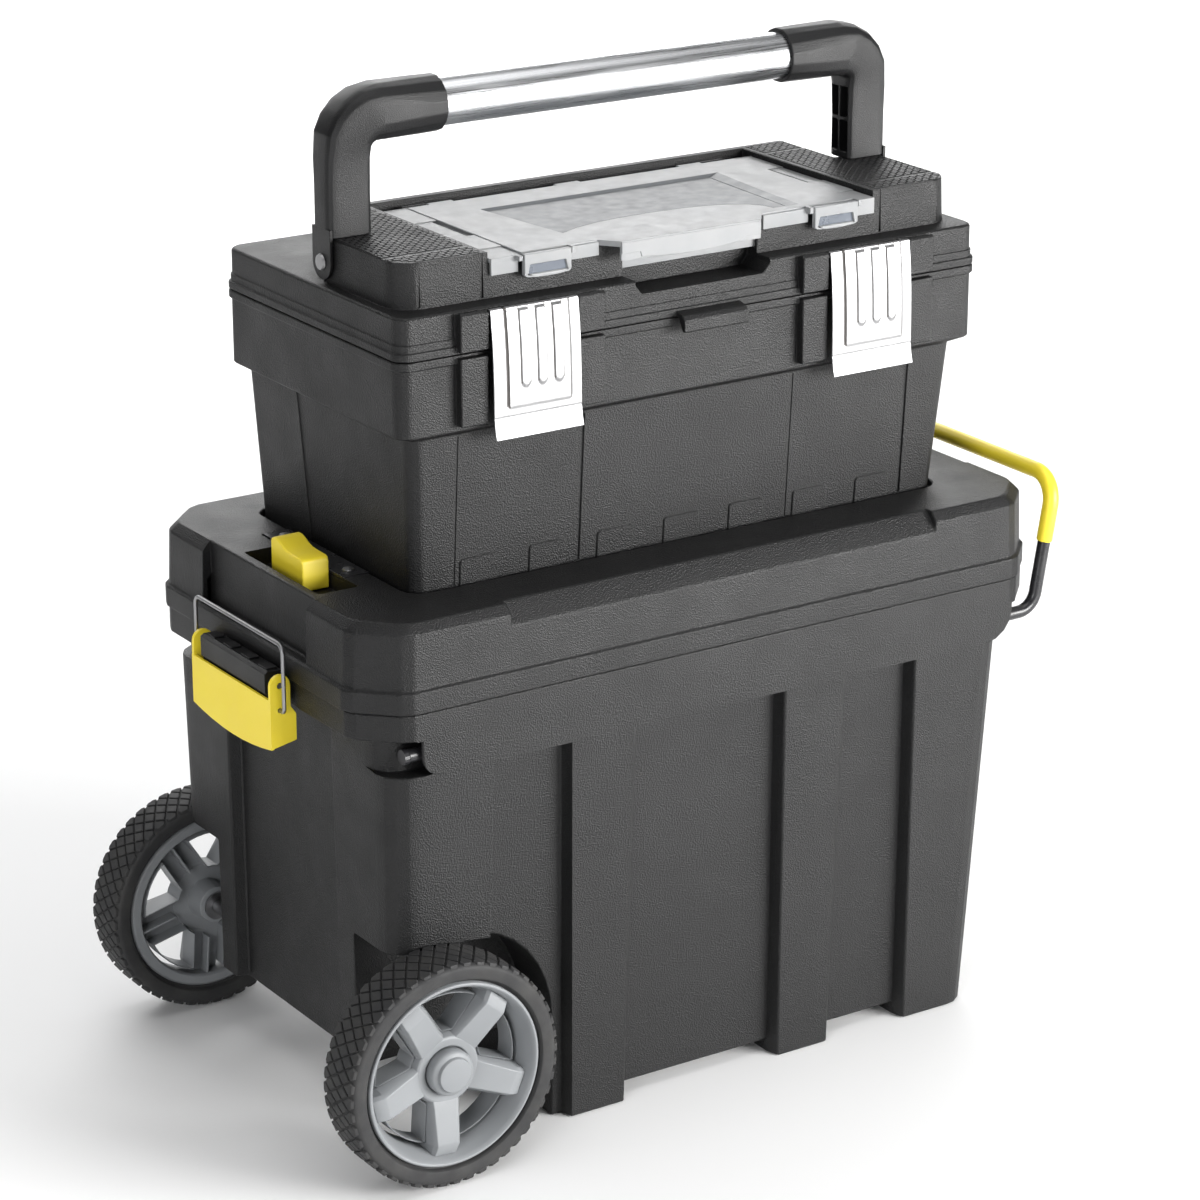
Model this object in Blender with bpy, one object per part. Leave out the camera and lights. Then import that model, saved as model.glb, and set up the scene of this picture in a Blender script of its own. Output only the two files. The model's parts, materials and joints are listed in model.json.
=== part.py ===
"""A two-piece rolling tool box: a wheeled chest with a pull-out handle, and a box that rides on its lid.

Metres, +Z up. X runs along the length: the wheels are at -X and the pull handle at +X. -Y is the front.
The origin is on the ground, under the middle of the whole box.
"""

import math

import bmesh
import bpy
from mathutils import Vector

GAP = 0.0003

# Wheels and axle
WHEEL_X = -0.2363
WHEEL_R = 0.084
WHEEL_OUT_Y = 0.196
TYRE_WIDTH = 0.040
RIM_R = 0.068
HUB_R = 0.017
AXLE_R = 0.005
AXLE_BORE = 0.0053

# Chest: the ribbed body, the channel for the pull rods, and the rim
RIB_TOP_Z = 0.294
LEFT_TOP_X = 0.262
LEFT_BOTTOM_X = 0.259
RIGHT_TOP_X = 0.266
RIGHT_BOTTOM_X = 0.250
SIDE_TOP_Y = 0.160
SIDE_BOTTOM_Y = 0.152
SIDE_RECESS = 0.0105
END_RECESS = 0.0095
POST_EDGE_X = 0.1818
RIB_IN_X = 0.0644
RIB_OUT_X = 0.1176
RIB_SLOPE = 0.003
RIB_TAPER = 0.004
END_POST_Y = 0.073
CORNER_R = 0.022
FLOOR_Z = 0.010
FLOOR_TOP_Z = 0.0135
NECK_Y = 0.146
RIM_Z = 0.320
RIM_TOP_Z = 0.3397
RIM_LEFT_X = 0.279
RIM_RIGHT_X = 0.302
RIM_Y = 0.1615
CAVITY_TOP_Y = 0.143
CAVITY_BOTTOM_Y = 0.1365

# Wheel housings and the stepped underside over the axle
ARCH_X = -0.1245
ARCH_MIDDLE_X = -0.199
ARCH_MIDDLE_Z = 0.075
ARCH_RISE = 0.0865
ARCH_Y = 0.100
STEP_Z = 0.058
AXLE_BAY_TOP_Z = 0.100
WALL = 0.003

# Aprons that hide the two rods of the pull handle
APRON_Y = 0.1613
APRON_WALL = 0.0028
APRON_LEFT_X = -0.2385
APRON_RIGHT_X = 0.270
GUIDE_XS = (0.052, 0.246)
GUIDE_WIDTH = 0.006
ROD_R = 0.0048
ROD_Y = 0.1523
ROD_Z = 0.308
ROD_BORE = 0.0052
ROD_LEFT_X = -0.246
GRIP_X = 0.3143
GRIP_Z = 0.408
GRIP_R = 0.006

# Chest lid
LID_LEFT_X = 0.278
LID_RIGHT_X = 0.300
LID_Y = 0.1608
FLANGE_OUT_X = 0.0035
FLANGE_OUT_Y = 0.0022
LID_BOTTOM_Z = 0.340
GROOVE_Z = 0.357
LID_WALL_TOP_Z = 0.3962
LID_TOP_Z = 0.403
LID_CORNER = 0.030
LID_BEVEL = 0.0068
RECESS_Z = 0.397
LID_HINGE_Y = 0.1725
LID_HINGE_Z = 0.3385
KNUCKLE_R = 0.0062
LID_ROD_R = 0.0025

# Slide lock on the lid
POCKET_FLOOR_Z = 0.3905
SLIDER_X = -0.245
SLIDER_Y = -0.0085
PLATE_TOP_Z = 0.4033

# Latch on the wheel end
LEVER_X = -0.298
LEVER_HALF_Y = 0.0575
LEVER_PIVOT_X = -0.290
LEVER_PIVOT_Z = 0.338
LEVER_PLATE_TOP_Z = 0.328
EAR_R = 0.008
LATCH_PIN_R = 0.0020
BAIL_R = 0.0015
BAIL_X = -0.2905
BAIL_PIVOT_Z = 0.320
BAIL_TOP_Z = 0.369
BAIL_HALF_Y = 0.0635

# Upper box
BOX_X = 0.0195
BASE_BOTTOM_Z = 0.3975
BASE_SHOULDER_Z = 0.513
BASE_BAND_Z = 0.516
BOX_SEAM_Z = 0.570
BOX_LID_BAND_Z = 0.581
BOX_LID_HALF = (0.2450, 0.1230)
BOX_LID_Y = 0.007
LEDGE_Z = 0.600
DECK_Z = 0.632
DECK_HALF_X = 0.2350
DECK_FRONT_Y = -0.098
DECK_BACK_Y = 0.072
BOX_CORNER_R = 0.011
BOX_HINGE_Y = 0.1365
BOX_HINGE_Z = 0.570
BOX_KNUCKLE_R = 0.0045
BOX_ROD_R = 0.002

# Steel latches of the upper box
STEEL_LATCH_XS = (-0.1222, 0.1607)
STEEL_LATCH_HALF = 0.0352
STEEL_PIN_Y = -0.1192
STEEL_PIN_Z = 0.5960
STEEL_PIN_R = 0.0013
BARREL_R = 0.0031
STEEL_SHEET = 0.0016
STEEL_BOTTOM_Z = 0.509
BOSS_Y = -0.1212

# Carry handle
PIVOT_Z = 0.6147
ARM_OUT_X = 0.2370
ARM_PLATE_X = 0.2346
ARM_IN_X = 0.2020
ARM_HALF_Y = 0.0125
ARM_BOTTOM_Z = 0.6328
TUBE_Z = 0.715
TUBE_R = 0.017
SLEEVE_R = 0.020
SLEEVE_END_X = 0.1452
SOCKET_DEPTH = 0.012
CARRY_PIN_R = 0.003

# Organizer in the deck
ORG_LEFT_X = -0.143
ORG_RIGHT_X = 0.180
ORG_POCKET_Z = 0.604
ORG_LID_Z = 0.6246
ORG_TOP_Z = 0.6286
ORG_HINGE_Y = 0.0570
ORG_HINGE_Z = 0.6262
ORG_KNUCKLE_R = 0.0026
CLIP_XS = (-0.1005, 0.1425)
CLIP_HALF = 0.0190
CLIP_Y = -0.1022
CLIP_Z = 0.6262


def clear_scene():
    for obj in list(bpy.data.objects):
        bpy.data.objects.remove(obj)


def material(name, colour, roughness, metallic=0.0):
    mat = bpy.data.materials.new(name)
    mat.use_nodes = True
    shader = mat.node_tree.nodes["Principled BSDF"]
    shader.inputs["Base Color"].default_value = (*colour, 1.0)
    shader.inputs["Roughness"].default_value = roughness
    shader.inputs["Metallic"].default_value = metallic
    return mat


def new_object(name, bm, mat=None):
    """Turns a bmesh into an object, faces out, round stretches smooth."""
    bmesh.ops.recalc_face_normals(bm, faces=bm.faces)
    mesh = bpy.data.meshes.new(name)
    bm.to_mesh(mesh)
    bm.free()
    mesh.shade_smooth()
    mesh.set_sharp_from_angle(angle=math.radians(32))
    obj = bpy.data.objects.new(name, mesh)
    bpy.context.scene.collection.objects.link(obj)
    if mat:
        mesh.materials.append(mat)
    return obj


def rounded_rect(half_x, half_y, radius, centre=(0.0, 0.0), steps=4):
    """Corner points of a rounded rectangle, anticlockwise from the +X side."""
    points = []
    for quarter in range(4):
        sx = (1, -1, -1, 1)[quarter]
        sy = (1, 1, -1, -1)[quarter]
        for step in range(steps + 1):
            angle = math.radians(90 * (quarter + step / steps))
            x = centre[0] + sx * (half_x - radius) + radius * math.cos(angle)
            y = centre[1] + sy * (half_y - radius) + radius * math.sin(angle)
            points.append((x, y))
    return points


def loft(name, sections, mat=None):
    """A closed solid through outlines with equal numbers of points, each given as (points, z)."""
    bm = bmesh.new()
    rings = [[bm.verts.new((x, y, z)) for x, y in points] for points, z in sections]
    for low, high in zip(rings, rings[1:]):
        count = len(low)
        for i in range(count):
            j = (i + 1) % count
            bm.faces.new((low[i], low[j], high[j], high[i]))
    bm.faces.new(rings[0][::-1])
    bm.faces.new(rings[-1])
    return new_object(name, bm, mat)


def prism(name, outline, axis, low, high, mat=None):
    """An outline extruded along an axis. Outline points are in the other two axes, in X, Y, Z order."""
    place = {
        "X": lambda a, b, c: (c, a, b),
        "Y": lambda a, b, c: (a, c, b),
        "Z": lambda a, b, c: (a, b, c),
    }[axis]
    bm = bmesh.new()
    ends = [[bm.verts.new(place(a, b, c)) for a, b in outline] for c in (low, high)]
    count = len(outline)
    for i in range(count):
        j = (i + 1) % count
        bm.faces.new((ends[0][i], ends[0][j], ends[1][j], ends[1][i]))
    bm.faces.new(ends[0][::-1])
    bm.faces.new(ends[1])
    return new_object(name, bm, mat)


def box(name, low, high, mat=None):
    outline = [(low[0], low[1]), (high[0], low[1]), (high[0], high[1]), (low[0], high[1])]
    return prism(name, outline, "Z", low[2], high[2], mat)


def turned(name, profile, axis, centre, mat=None, segments=32):
    """A ring profile of (radius, distance along the axis) points turned about an axis through a centre.
    A point of radius 0 closes the solid on the axis."""
    frames = {
        "X": (Vector((0, 1, 0)), Vector((0, 0, 1)), Vector((1, 0, 0))),
        "Y": (Vector((0, 0, -1)), Vector((1, 0, 0)), Vector((0, 1, 0))),
        "Z": (Vector((1, 0, 0)), Vector((0, 1, 0)), Vector((0, 0, 1))),
    }
    side, up, along = frames[axis]
    centre = Vector(centre)
    bm = bmesh.new()
    rings = []
    for radius, distance in profile:
        middle = centre + along * distance
        if radius == 0:
            rings.append([bm.verts.new(middle)])
            continue
        ring = []
        for k in range(segments):
            angle = 2 * math.pi * k / segments
            ring.append(bm.verts.new(middle + radius * (side * math.cos(angle) + up * math.sin(angle))))
        rings.append(ring)
    pairs = list(zip(rings, rings[1:]))
    if len(rings[0]) > 1:
        pairs.append((rings[-1], rings[0]))
    for first, second in pairs:
        for k in range(segments):
            n = (k + 1) % segments
            if len(first) == 1:
                bm.faces.new((first[0], second[n], second[k]))
            elif len(second) == 1:
                bm.faces.new((first[k], first[n], second[0]))
            else:
                bm.faces.new((first[k], first[n], second[n], second[k]))
    return new_object(name, bm, mat)


def rod(name, radius, axis, centre, low, high, mat=None, segments=16):
    profile = [(0, low), (radius, low), (radius, high), (0, high)]
    return turned(name, profile, axis, centre, mat, segments)


def bent_rod(name, path, radius, mat, sides=10):
    """A round rod along a path of points, with flat ends."""
    points = [Vector(p) for p in path]
    bm = bmesh.new()
    rings = []
    normal = None
    for i, point in enumerate(points):
        before = points[max(i - 1, 0)]
        after = points[min(i + 1, len(points) - 1)]
        tangent = (after - before).normalized()
        if normal is None:
            normal = tangent.orthogonal().normalized()
        normal = (normal - tangent * normal.dot(tangent)).normalized()
        second = tangent.cross(normal)
        stretch = 1.0
        if 0 < i < len(points) - 1:
            half_turn = (point - before).angle(after - point) / 2
            stretch = 1 / math.cos(half_turn)
        bend_side = tangent.cross((point - before).cross(after - point))
        bend_side = bend_side.normalized() if bend_side.length > 1e-12 else Vector((0, 0, 0))
        ring = []
        for k in range(sides):
            angle = 2 * math.pi * k / sides
            offset = radius * (normal * math.cos(angle) + second * math.sin(angle))
            offset += bend_side * offset.dot(bend_side) * (stretch - 1)
            ring.append(bm.verts.new(point + offset))
        rings.append(ring)
    for first, second in zip(rings, rings[1:]):
        for k in range(sides):
            n = (k + 1) % sides
            bm.faces.new((first[k], first[n], second[n], second[k]))
    bm.faces.new(rings[0][::-1])
    bm.faces.new(rings[-1])
    return new_object(name, bm, mat)


def corner_arc(corner, before, after, radius, steps=5):
    """Points that round a path's corner."""
    corner, before, after = Vector(corner), Vector(before), Vector(after)
    into = (before - corner).normalized()
    out = (after - corner).normalized()
    half = into.angle(out) / 2
    reach = radius / math.tan(half)
    centre = corner + (into + out).normalized() * radius / math.sin(half)
    start = corner + into * reach - centre
    end = corner + out * reach - centre
    turn = start.angle(end)
    points = []
    for step in range(steps + 1):
        share = step / steps
        mixed = start * math.sin((1 - share) * turn) + end * math.sin(share * turn)
        points.append(centre + mixed / math.sin(turn))
    return points


def change(body, other, operation):
    modifier = body.modifiers.new(other.name, "BOOLEAN")
    modifier.operation = operation
    modifier.object = other
    other.hide_render = True
    other.display_type = "WIRE"


def cut(body, *cutters):
    for cutter in cutters:
        change(body, cutter, "DIFFERENCE")


def join(body, *others):
    for other in others:
        change(body, other, "UNION")


def place_origin(obj, point):
    """Moves an object's origin onto its joint axis and leaves its shape in place."""
    shift = Vector(point)
    for vertex in obj.data.vertices:
        vertex.co -= shift
    obj.location = shift


# ---------------------------------------------------------------- chest

def round_corner(half_x, half_y, radius):
    """Five points round a corner, from the X side to the Y side."""
    points = []
    for step in range(5):
        angle = math.radians(90 * step / 4)
        x = half_x - radius + radius * math.cos(angle)
        y = half_y - radius + radius * math.sin(angle)
        points.append((x, y))
    return points


def chamfer_corner(half_x, half_y, size, soft=0.005):
    """Five points across a 45 degree corner whose two edges are softened."""
    slant = soft * math.sqrt(0.5)
    return [
        (half_x, half_y - size - soft),
        (half_x - slant, half_y - size + slant),
        (half_x - size / 2, half_y - size / 2),
        (half_x - size + slant, half_y - slant),
        (half_x - size - soft, half_y),
    ]


def whole_outline(right, left):
    """An outline, anticlockwise, from its +X +Y quarter and the mirror image of its -X +Y quarter."""
    points = list(right)
    points += [(-x, y) for x, y in reversed(left)]
    points += [(-x, -y) for x, y in left]
    points += [(x, -y) for x, y in reversed(right)]
    return points


def ribbed_quarter(end_x, half_y, side_y, narrow):
    """A quarter of the body's outline: end panel, corner post, panel, rib and half of the middle panel."""
    slope = RIB_SLOPE if half_y > side_y else 0.0
    points = [
        (end_x - END_RECESS, END_POST_Y + narrow),
        (end_x, END_POST_Y + narrow + RIB_SLOPE),
    ]
    points += round_corner(end_x, half_y, CORNER_R)
    points += [
        (POST_EDGE_X + narrow, half_y),
        (POST_EDGE_X + narrow - slope, side_y),
        (RIB_OUT_X - narrow + slope, side_y),
        (RIB_OUT_X - narrow, half_y),
        (RIB_IN_X + narrow, half_y),
        (RIB_IN_X + narrow - slope, side_y),
    ]
    return points


def body_outline(height):
    """The ribbed outline at a height from 0, the ground, to 1, the top of the ribs."""
    down = 1 - height
    half_y = SIDE_TOP_Y + (SIDE_BOTTOM_Y - SIDE_TOP_Y) * down
    left = LEFT_TOP_X + (LEFT_BOTTOM_X - LEFT_TOP_X) * down
    right = RIGHT_TOP_X + (RIGHT_BOTTOM_X - RIGHT_TOP_X) * down
    narrow = RIB_TAPER * down
    side_y = half_y - SIDE_RECESS
    return whole_outline(
        ribbed_quarter(right, half_y, side_y, narrow),
        ribbed_quarter(left, half_y, side_y, narrow),
    )


def neck_outline():
    right = ribbed_quarter(RIGHT_TOP_X, NECK_Y, NECK_Y, 0.0)
    left = ribbed_quarter(LEFT_TOP_X, NECK_Y, NECK_Y, 0.0)
    return whole_outline(right, left)


def rim_outline():
    quarters = []
    for end_x in (RIM_RIGHT_X, RIM_LEFT_X):
        points = [(end_x, END_POST_Y), (end_x, END_POST_Y + RIB_SLOPE)]
        points += chamfer_corner(end_x, RIM_Y, LID_CORNER)
        edges = (POST_EDGE_X, POST_EDGE_X - RIB_SLOPE, RIB_OUT_X + RIB_SLOPE, RIB_OUT_X, RIB_IN_X)
        points += [(x, RIM_Y) for x in edges]
        points.append((RIB_IN_X - RIB_SLOPE, RIM_Y))
        quarters.append(points)
    return whole_outline(*quarters)


def housing_outline(offset=0.0):
    """Side profile of a wheel housing in X and Z, open past the wheel end and below the ground."""
    left = -0.30
    reach = ARCH_X - ARCH_MIDDLE_X + offset
    points = [(left, -0.02), (ARCH_X + offset, -0.02)]
    for step in range(9):
        angle = math.radians(90 * step / 8)
        x = ARCH_MIDDLE_X + reach * math.cos(angle)
        points.append((x, ARCH_MIDDLE_Z + (ARCH_RISE + offset) * math.sin(angle)))
    points.append((left, ARCH_MIDDLE_Z + ARCH_RISE + offset))
    return points


def chest_cavity():
    """The inside of the chest, with the wheel housings and the axle bay left standing."""

    def outline(left, right, half_y):
        centre = ((right - left) / 2, 0)
        return rounded_rect((right + left) / 2, half_y, 0.018, centre, 3)

    top = outline(0.249, 0.253, CAVITY_TOP_Y)
    sections = [
        (outline(0.246, 0.2365, CAVITY_BOTTOM_Y), FLOOR_TOP_Z),
        (top, RIM_Z),
        (top, RIM_TOP_Z + 0.005),
    ]
    cavity = loft("cut_chest_inside", sections)
    for side in (-1, 1):
        span = sorted((side * (ARCH_Y - WALL), side * 0.2))
        housing = prism(f"keep_housing_{side}", housing_outline(WALL), "Y", *span)
        cut(cavity, housing)
    bay = box("keep_axle_bay", (-0.30, -0.17, -0.01), (ARCH_X + WALL, 0.17, AXLE_BAY_TOP_Z + WALL))
    cut(cavity, bay)
    return cavity


def apron(side):
    """The long plate below the rim, with rounded lower corners, over one rod of the pull handle."""
    small, large = 0.014, 0.022
    bottom = RIB_TOP_Z - 0.0006
    points = [(APRON_LEFT_X, RIM_Z + 0.002)]
    for step in range(5):
        angle = math.radians(180 + 90 * step / 4)
        x = APRON_LEFT_X + small + small * math.cos(angle)
        points.append((x, bottom + small + small * math.sin(angle)))
    for step in range(5):
        angle = math.radians(270 + 90 * step / 4)
        x = APRON_RIGHT_X - large + large * math.cos(angle)
        points.append((x, bottom + large + large * math.sin(angle)))
    points.append((APRON_RIGHT_X, RIM_Z + 0.002))
    span = sorted((side * (APRON_Y - APRON_WALL), side * APRON_Y))
    return prism(f"add_apron_{side}", points, "Y", *span)


def rod_guides(side):
    """Two webs in each apron that carry a rod of the pull handle."""
    inner, outer = sorted((side * (NECK_Y - WALL), side * (APRON_Y - 0.001)))
    webs = []
    for index, place in enumerate(GUIDE_XS):
        low = (place, inner, RIB_TOP_Z - 0.001)
        high = (place + GUIDE_WIDTH, outer, RIM_Z + 0.002)
        webs.append(box(f"add_guide_{side}_{index}", low, high))
    return webs


def knuckle(name, span, y, z, radius, wall_y, arm_z, upward):
    """A hinge knuckle on an axis along X, with an arm forward to the panel it belongs to."""
    turn = -1 if upward else 1
    outline = []
    for step in range(10):
        angle = math.radians(turn * (-90 + 270 * step / 9))
        outline.append((y + radius * math.cos(angle), z + radius * math.sin(angle)))
    near, far = arm_z
    outline += [(y - radius, near), (wall_y, near), (wall_y, far)]
    return prism(name, outline, "X", *span)


CHEST_KNUCKLES = ((-0.215, -0.165), (-0.025, 0.025), (0.165, 0.215))
LID_KNUCKLES = ((-0.162, -0.112), (0.112, 0.162))


def make_chest_shell(mat):
    sections = [
        (body_outline(0.0), 0.0),
        (body_outline(1.0), RIB_TOP_Z),
        (neck_outline(), RIB_TOP_Z + 0.0004),
        (neck_outline(), RIM_Z - 0.0004),
        (rim_outline(), RIM_Z),
        (rim_outline(), RIM_TOP_Z),
    ]
    shell = loft("chest_shell", sections, mat)
    for side in (-1, 1):
        join(shell, apron(side))
        join(shell, *rod_guides(side))
    for index, span in enumerate(CHEST_KNUCKLES):
        name = f"add_chest_knuckle_{index}"
        arm = (0.3372, 0.3220)
        join(shell, knuckle(name, span, LID_HINGE_Y, LID_HINGE_Z, KNUCKLE_R, RIM_Y - WALL, arm, False))
    cut(shell, chest_cavity())
    for side in (-1, 1):
        span = sorted((side * ARCH_Y, side * 0.2))
        cut(shell, prism(f"cut_housing_{side}", housing_outline(), "Y", *span))
        centre = (0, side * ROD_Y, ROD_Z)
        cut(shell, rod(f"cut_rod_bore_{side}", ROD_BORE, "X", centre, 0.04, 0.27))
    cut(shell, box("cut_step", (-0.30, -0.2, -0.01), (ARCH_X, 0.2, STEP_Z)))
    bay_y = ARCH_Y - WALL
    cut(shell, box("cut_axle_bay", (-0.247, -bay_y, 0.0), (ARCH_X - 0.0005, bay_y, AXLE_BAY_TOP_Z)))
    foot_y = 0.124
    cut(shell, box("cut_floor", (ARCH_X + 0.03, -foot_y, -0.01), (0.218, foot_y, FLOOR_Z)))
    inner_foot = RIB_IN_X + RIB_TAPER - RIB_SLOPE
    outer_foot = RIB_OUT_X - RIB_TAPER + RIB_SLOPE
    end_foot = POST_EDGE_X + RIB_TAPER - RIB_SLOPE
    panels = ((-inner_foot, inner_foot), (outer_foot, end_foot))
    for index, (low, high) in enumerate(panels):
        cut(shell, box(f"cut_panel_foot_{index}", (low, -0.2, -0.01), (high, 0.2, FLOOR_Z)))
    cut(shell, box("cut_end_foot", (0.20, -END_POST_Y, -0.01), (0.30, END_POST_Y, FLOOR_Z)))
    cut(shell, rod("cut_axle", AXLE_BORE, "Y", (WHEEL_X, 0, WHEEL_R), -0.12, 0.12))
    cut(shell, rod("cut_lid_rod", LID_ROD_R + GAP, "X", (0, LID_HINGE_Y, LID_HINGE_Z), -0.25, 0.25))
    return shell


def make_wheel(side, name, rubber, grey, steel):
    """One wheel: a tyre, a hub with five windows, a cap over the axle's end, and a washer inside."""
    centre = (WHEEL_X, 0, WHEEL_R)

    def at(depth):
        return side * (WHEEL_OUT_Y - depth)

    bead = RIM_R + GAP
    tyre_profile = [
        (bead, at(0.002)),
        (bead + 0.003, at(0)),
        (WHEEL_R - 0.004, at(0.001)),
        (WHEEL_R, at(0.005)),
        (WHEEL_R, at(TYRE_WIDTH - 0.005)),
        (WHEEL_R - 0.004, at(TYRE_WIDTH - 0.001)),
        (bead + 0.003, at(TYRE_WIDTH)),
        (bead, at(TYRE_WIDTH - 0.002)),
    ]
    tyre = turned(f"tyre_{name}", tyre_profile, "Y", centre, rubber, 48)
    hub_profile = [
        (AXLE_BORE, at(0.014)),
        (HUB_R, at(0.014)),
        (HUB_R, at(0.010)),
        (0.056, at(0.008)),
        (0.060, at(0.002)),
        (RIM_R, at(0.002)),
        (RIM_R, at(TYRE_WIDTH - 0.003)),
        (0.062, at(TYRE_WIDTH - 0.003)),
        (0.060, at(0.016)),
        (HUB_R, at(0.018)),
        (HUB_R, at(TYRE_WIDTH + 0.004)),
        (AXLE_BORE, at(TYRE_WIDTH + 0.004)),
    ]
    hub = turned(f"hub_{name}", hub_profile, "Y", centre, grey, 40)
    for index in range(5):
        middle = 72 * index + 13.5
        outline = []
        for radius, half_angle in ((0.0247, 11.3), (0.0549, 22.1)):
            for sign in (-1, 1):
                angle = math.radians(middle + sign * half_angle)
                x = WHEEL_X + radius * math.cos(angle)
                outline.append((x, WHEEL_R + radius * math.sin(angle)))
        outline = [outline[0], outline[1], outline[3], outline[2]]
        span = sorted((at(-0.002), at(0.030)))
        cut(hub, prism(f"cut_window_{name}_{index}", outline, "Y", *span))
    cap_profile = [
        (0, at(0.0137)),
        (HUB_R - 0.001, at(0.0137)),
        (HUB_R - 0.001, at(0.0060)),
        (0.0120, at(0.0040)),
        (0.0115, at(0.0005)),
        (0, at(0.0005)),
    ]
    cap = turned(f"hub_cap_{name}", cap_profile, "Y", centre, grey, 28)
    washer_profile = [
        (AXLE_BORE, at(TYRE_WIDTH + 0.0045)),
        (0.011, at(TYRE_WIDTH + 0.0045)),
        (0.011, at(TYRE_WIDTH + 0.0060)),
        (AXLE_BORE, at(TYRE_WIDTH + 0.0060)),
    ]
    turned(f"axle_washer_{name}", washer_profile, "Y", centre, steel, 20)
    for piece in (tyre, hub, cap):
        place_origin(piece, centre)


def make_axle(steel):
    reach = WHEEL_OUT_Y - 0.0145
    rod("axle", AXLE_R, "Y", (WHEEL_X, 0, WHEEL_R), -reach, reach, steel, 20)


def make_pull_handle(black, yellow, steel):
    """A U-shaped rod that slides out of both aprons, with a soft sleeve over its crossbar."""
    foot = Vector((0.297, -ROD_Y, ROD_Z))
    elbow = Vector((GRIP_X, -ROD_Y, GRIP_Z))
    middle = Vector((GRIP_X, 0, GRIP_Z))
    start = Vector((ROD_LEFT_X, -ROD_Y, ROD_Z))
    low_bend = corner_arc(foot, start, elbow, 0.016, 5)
    high_bend = corner_arc(elbow, foot, middle, 0.022, 6)

    def mirrored(points):
        return [Vector((p.x, -p.y, p.z)) for p in reversed(points)]

    half = [start] + low_bend + high_bend
    bent_rod("pull_rod", half + mirrored(half), ROD_R, black, 12)
    slope = (high_bend[0] - low_bend[-1]).normalized()
    sleeve_end = high_bend[0] - slope * 0.027
    half = [sleeve_end] + high_bend
    grip = bent_rod("pull_grip", half + mirrored(half), GRIP_R, yellow, 12)
    half = [sleeve_end - slope * 0.005] + high_bend
    cut(grip, bent_rod("cut_grip_bore", half + mirrored(half), ROD_R + GAP, None, 12))
    for side, name in ((-1, "front"), (1, "back")):
        profile = [(0, -0.004), (0.0054, -0.004), (0.0054, -GAP), (0, -GAP)]
        turned(f"rod_stop_{name}", profile, "X", (ROD_LEFT_X, side * ROD_Y, ROD_Z), steel, 16)


# ---------------------------------------------------------------- chest lid

def lid_outline(inset_x, inset_y):
    quarters = []
    corner = LID_CORNER - 0.4 * inset_x
    for end_x in (LID_RIGHT_X, LID_LEFT_X):
        quarters.append(chamfer_corner(end_x - inset_x, LID_Y - inset_y, corner))
    return whole_outline(*quarters)


def make_chest_lid(mat):
    flange = lid_outline(-FLANGE_OUT_X, -FLANGE_OUT_Y)
    sections = [
        (flange, LID_BOTTOM_Z),
        (flange, GROOVE_Z - 0.0015),
        (lid_outline(-0.001, 0.0), GROOVE_Z),
        (lid_outline(0.0005, 0.0008), LID_WALL_TOP_Z),
        (lid_outline(LID_BEVEL, LID_BEVEL), LID_TOP_Z),
    ]
    lid = loft("chest_lid", sections, mat)
    for index, span in enumerate(LID_KNUCKLES):
        name = f"add_lid_knuckle_{index}"
        arm = (0.3425, 0.3530)
        join(lid, knuckle(name, span, LID_HINGE_Y, LID_HINGE_Z, KNUCKLE_R, LID_Y - WALL, arm, True))
    low = lid_outline(0.0035, 0.0035)
    inside = [(low, LID_BOTTOM_Z - 0.01), (low, 0.373), (lid_outline(0.0138, 0.0138), 0.387)]
    cut(lid, loft("cut_lid_inside", inside))
    for side, end_x in ((-1, LID_LEFT_X), (1, LID_RIGHT_X)):
        wall = side * (end_x - LID_BEVEL - 0.0002)
        low_x, high_x = sorted((wall, wall + side * 0.03))
        panel = box(f"cut_end_panel_{side}", (low_x, -0.075, GROOVE_Z), (high_x, 0.075, LID_TOP_Z + 0.01))
        cut(lid, panel)
        backing = box(
            f"add_end_backing_{side}",
            (min(wall - side * 0.004, wall - side * 0.0003), -0.078, GROOVE_Z - 0.004),
            (max(wall - side * 0.004, wall - side * 0.0003), 0.078, 0.390),
        )
        join(lid, backing)
        ledge_x = sorted((wall - side * 0.004, side * (end_x - 0.001)))
        ledge_low = (ledge_x[0], -0.078, GROOVE_Z - 0.004)
        ledge_high = (ledge_x[1], 0.078, GROOVE_Z - 0.0006)
        ledge = box(f"add_end_ledge_{side}", ledge_low, ledge_high)
        join(lid, ledge)
    lip_z, slope_y = 0.3875, -0.1477
    trough = [
        (-LID_Y - 0.02, lip_z),
        (-LID_Y, lip_z),
        (slope_y, LID_TOP_Z + 0.0001),
        (slope_y, LID_TOP_Z + 0.01),
        (-LID_Y - 0.02, LID_TOP_Z + 0.01),
    ]
    cut(lid, prism("cut_trough", trough, "X", -0.166, 0.197))
    recess = rounded_rect(0.2285, 0.1125, BOX_CORNER_R + 0.004, (0.015, 0.0065), 3)
    cut(lid, loft("cut_recess", [(recess, RECESS_Z), (recess, LID_TOP_Z + 0.01)]))
    cut(lid, box("cut_pocket", (-0.2635, -0.068, POCKET_FLOOR_Z), (-0.2332, 0.038, LID_TOP_Z + 0.01)))
    cut(lid, box("cut_plate_seat", (-0.2345, -0.0483, 0.4010), (-0.2115, 0.0663, LID_TOP_Z + 0.01)))
    cut(lid, rod("cut_lid_rod_bore", LID_ROD_R + GAP, "X", (0, LID_HINGE_Y, LID_HINGE_Z), -0.25, 0.25))
    steel = bpy.data.materials["steel"]
    rod("lid_hinge_rod", LID_ROD_R, "X", (0, LID_HINGE_Y, LID_HINGE_Z), -0.2145, 0.2145, steel)
    place_origin(lid, (0, LID_HINGE_Y, LID_HINGE_Z))


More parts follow.
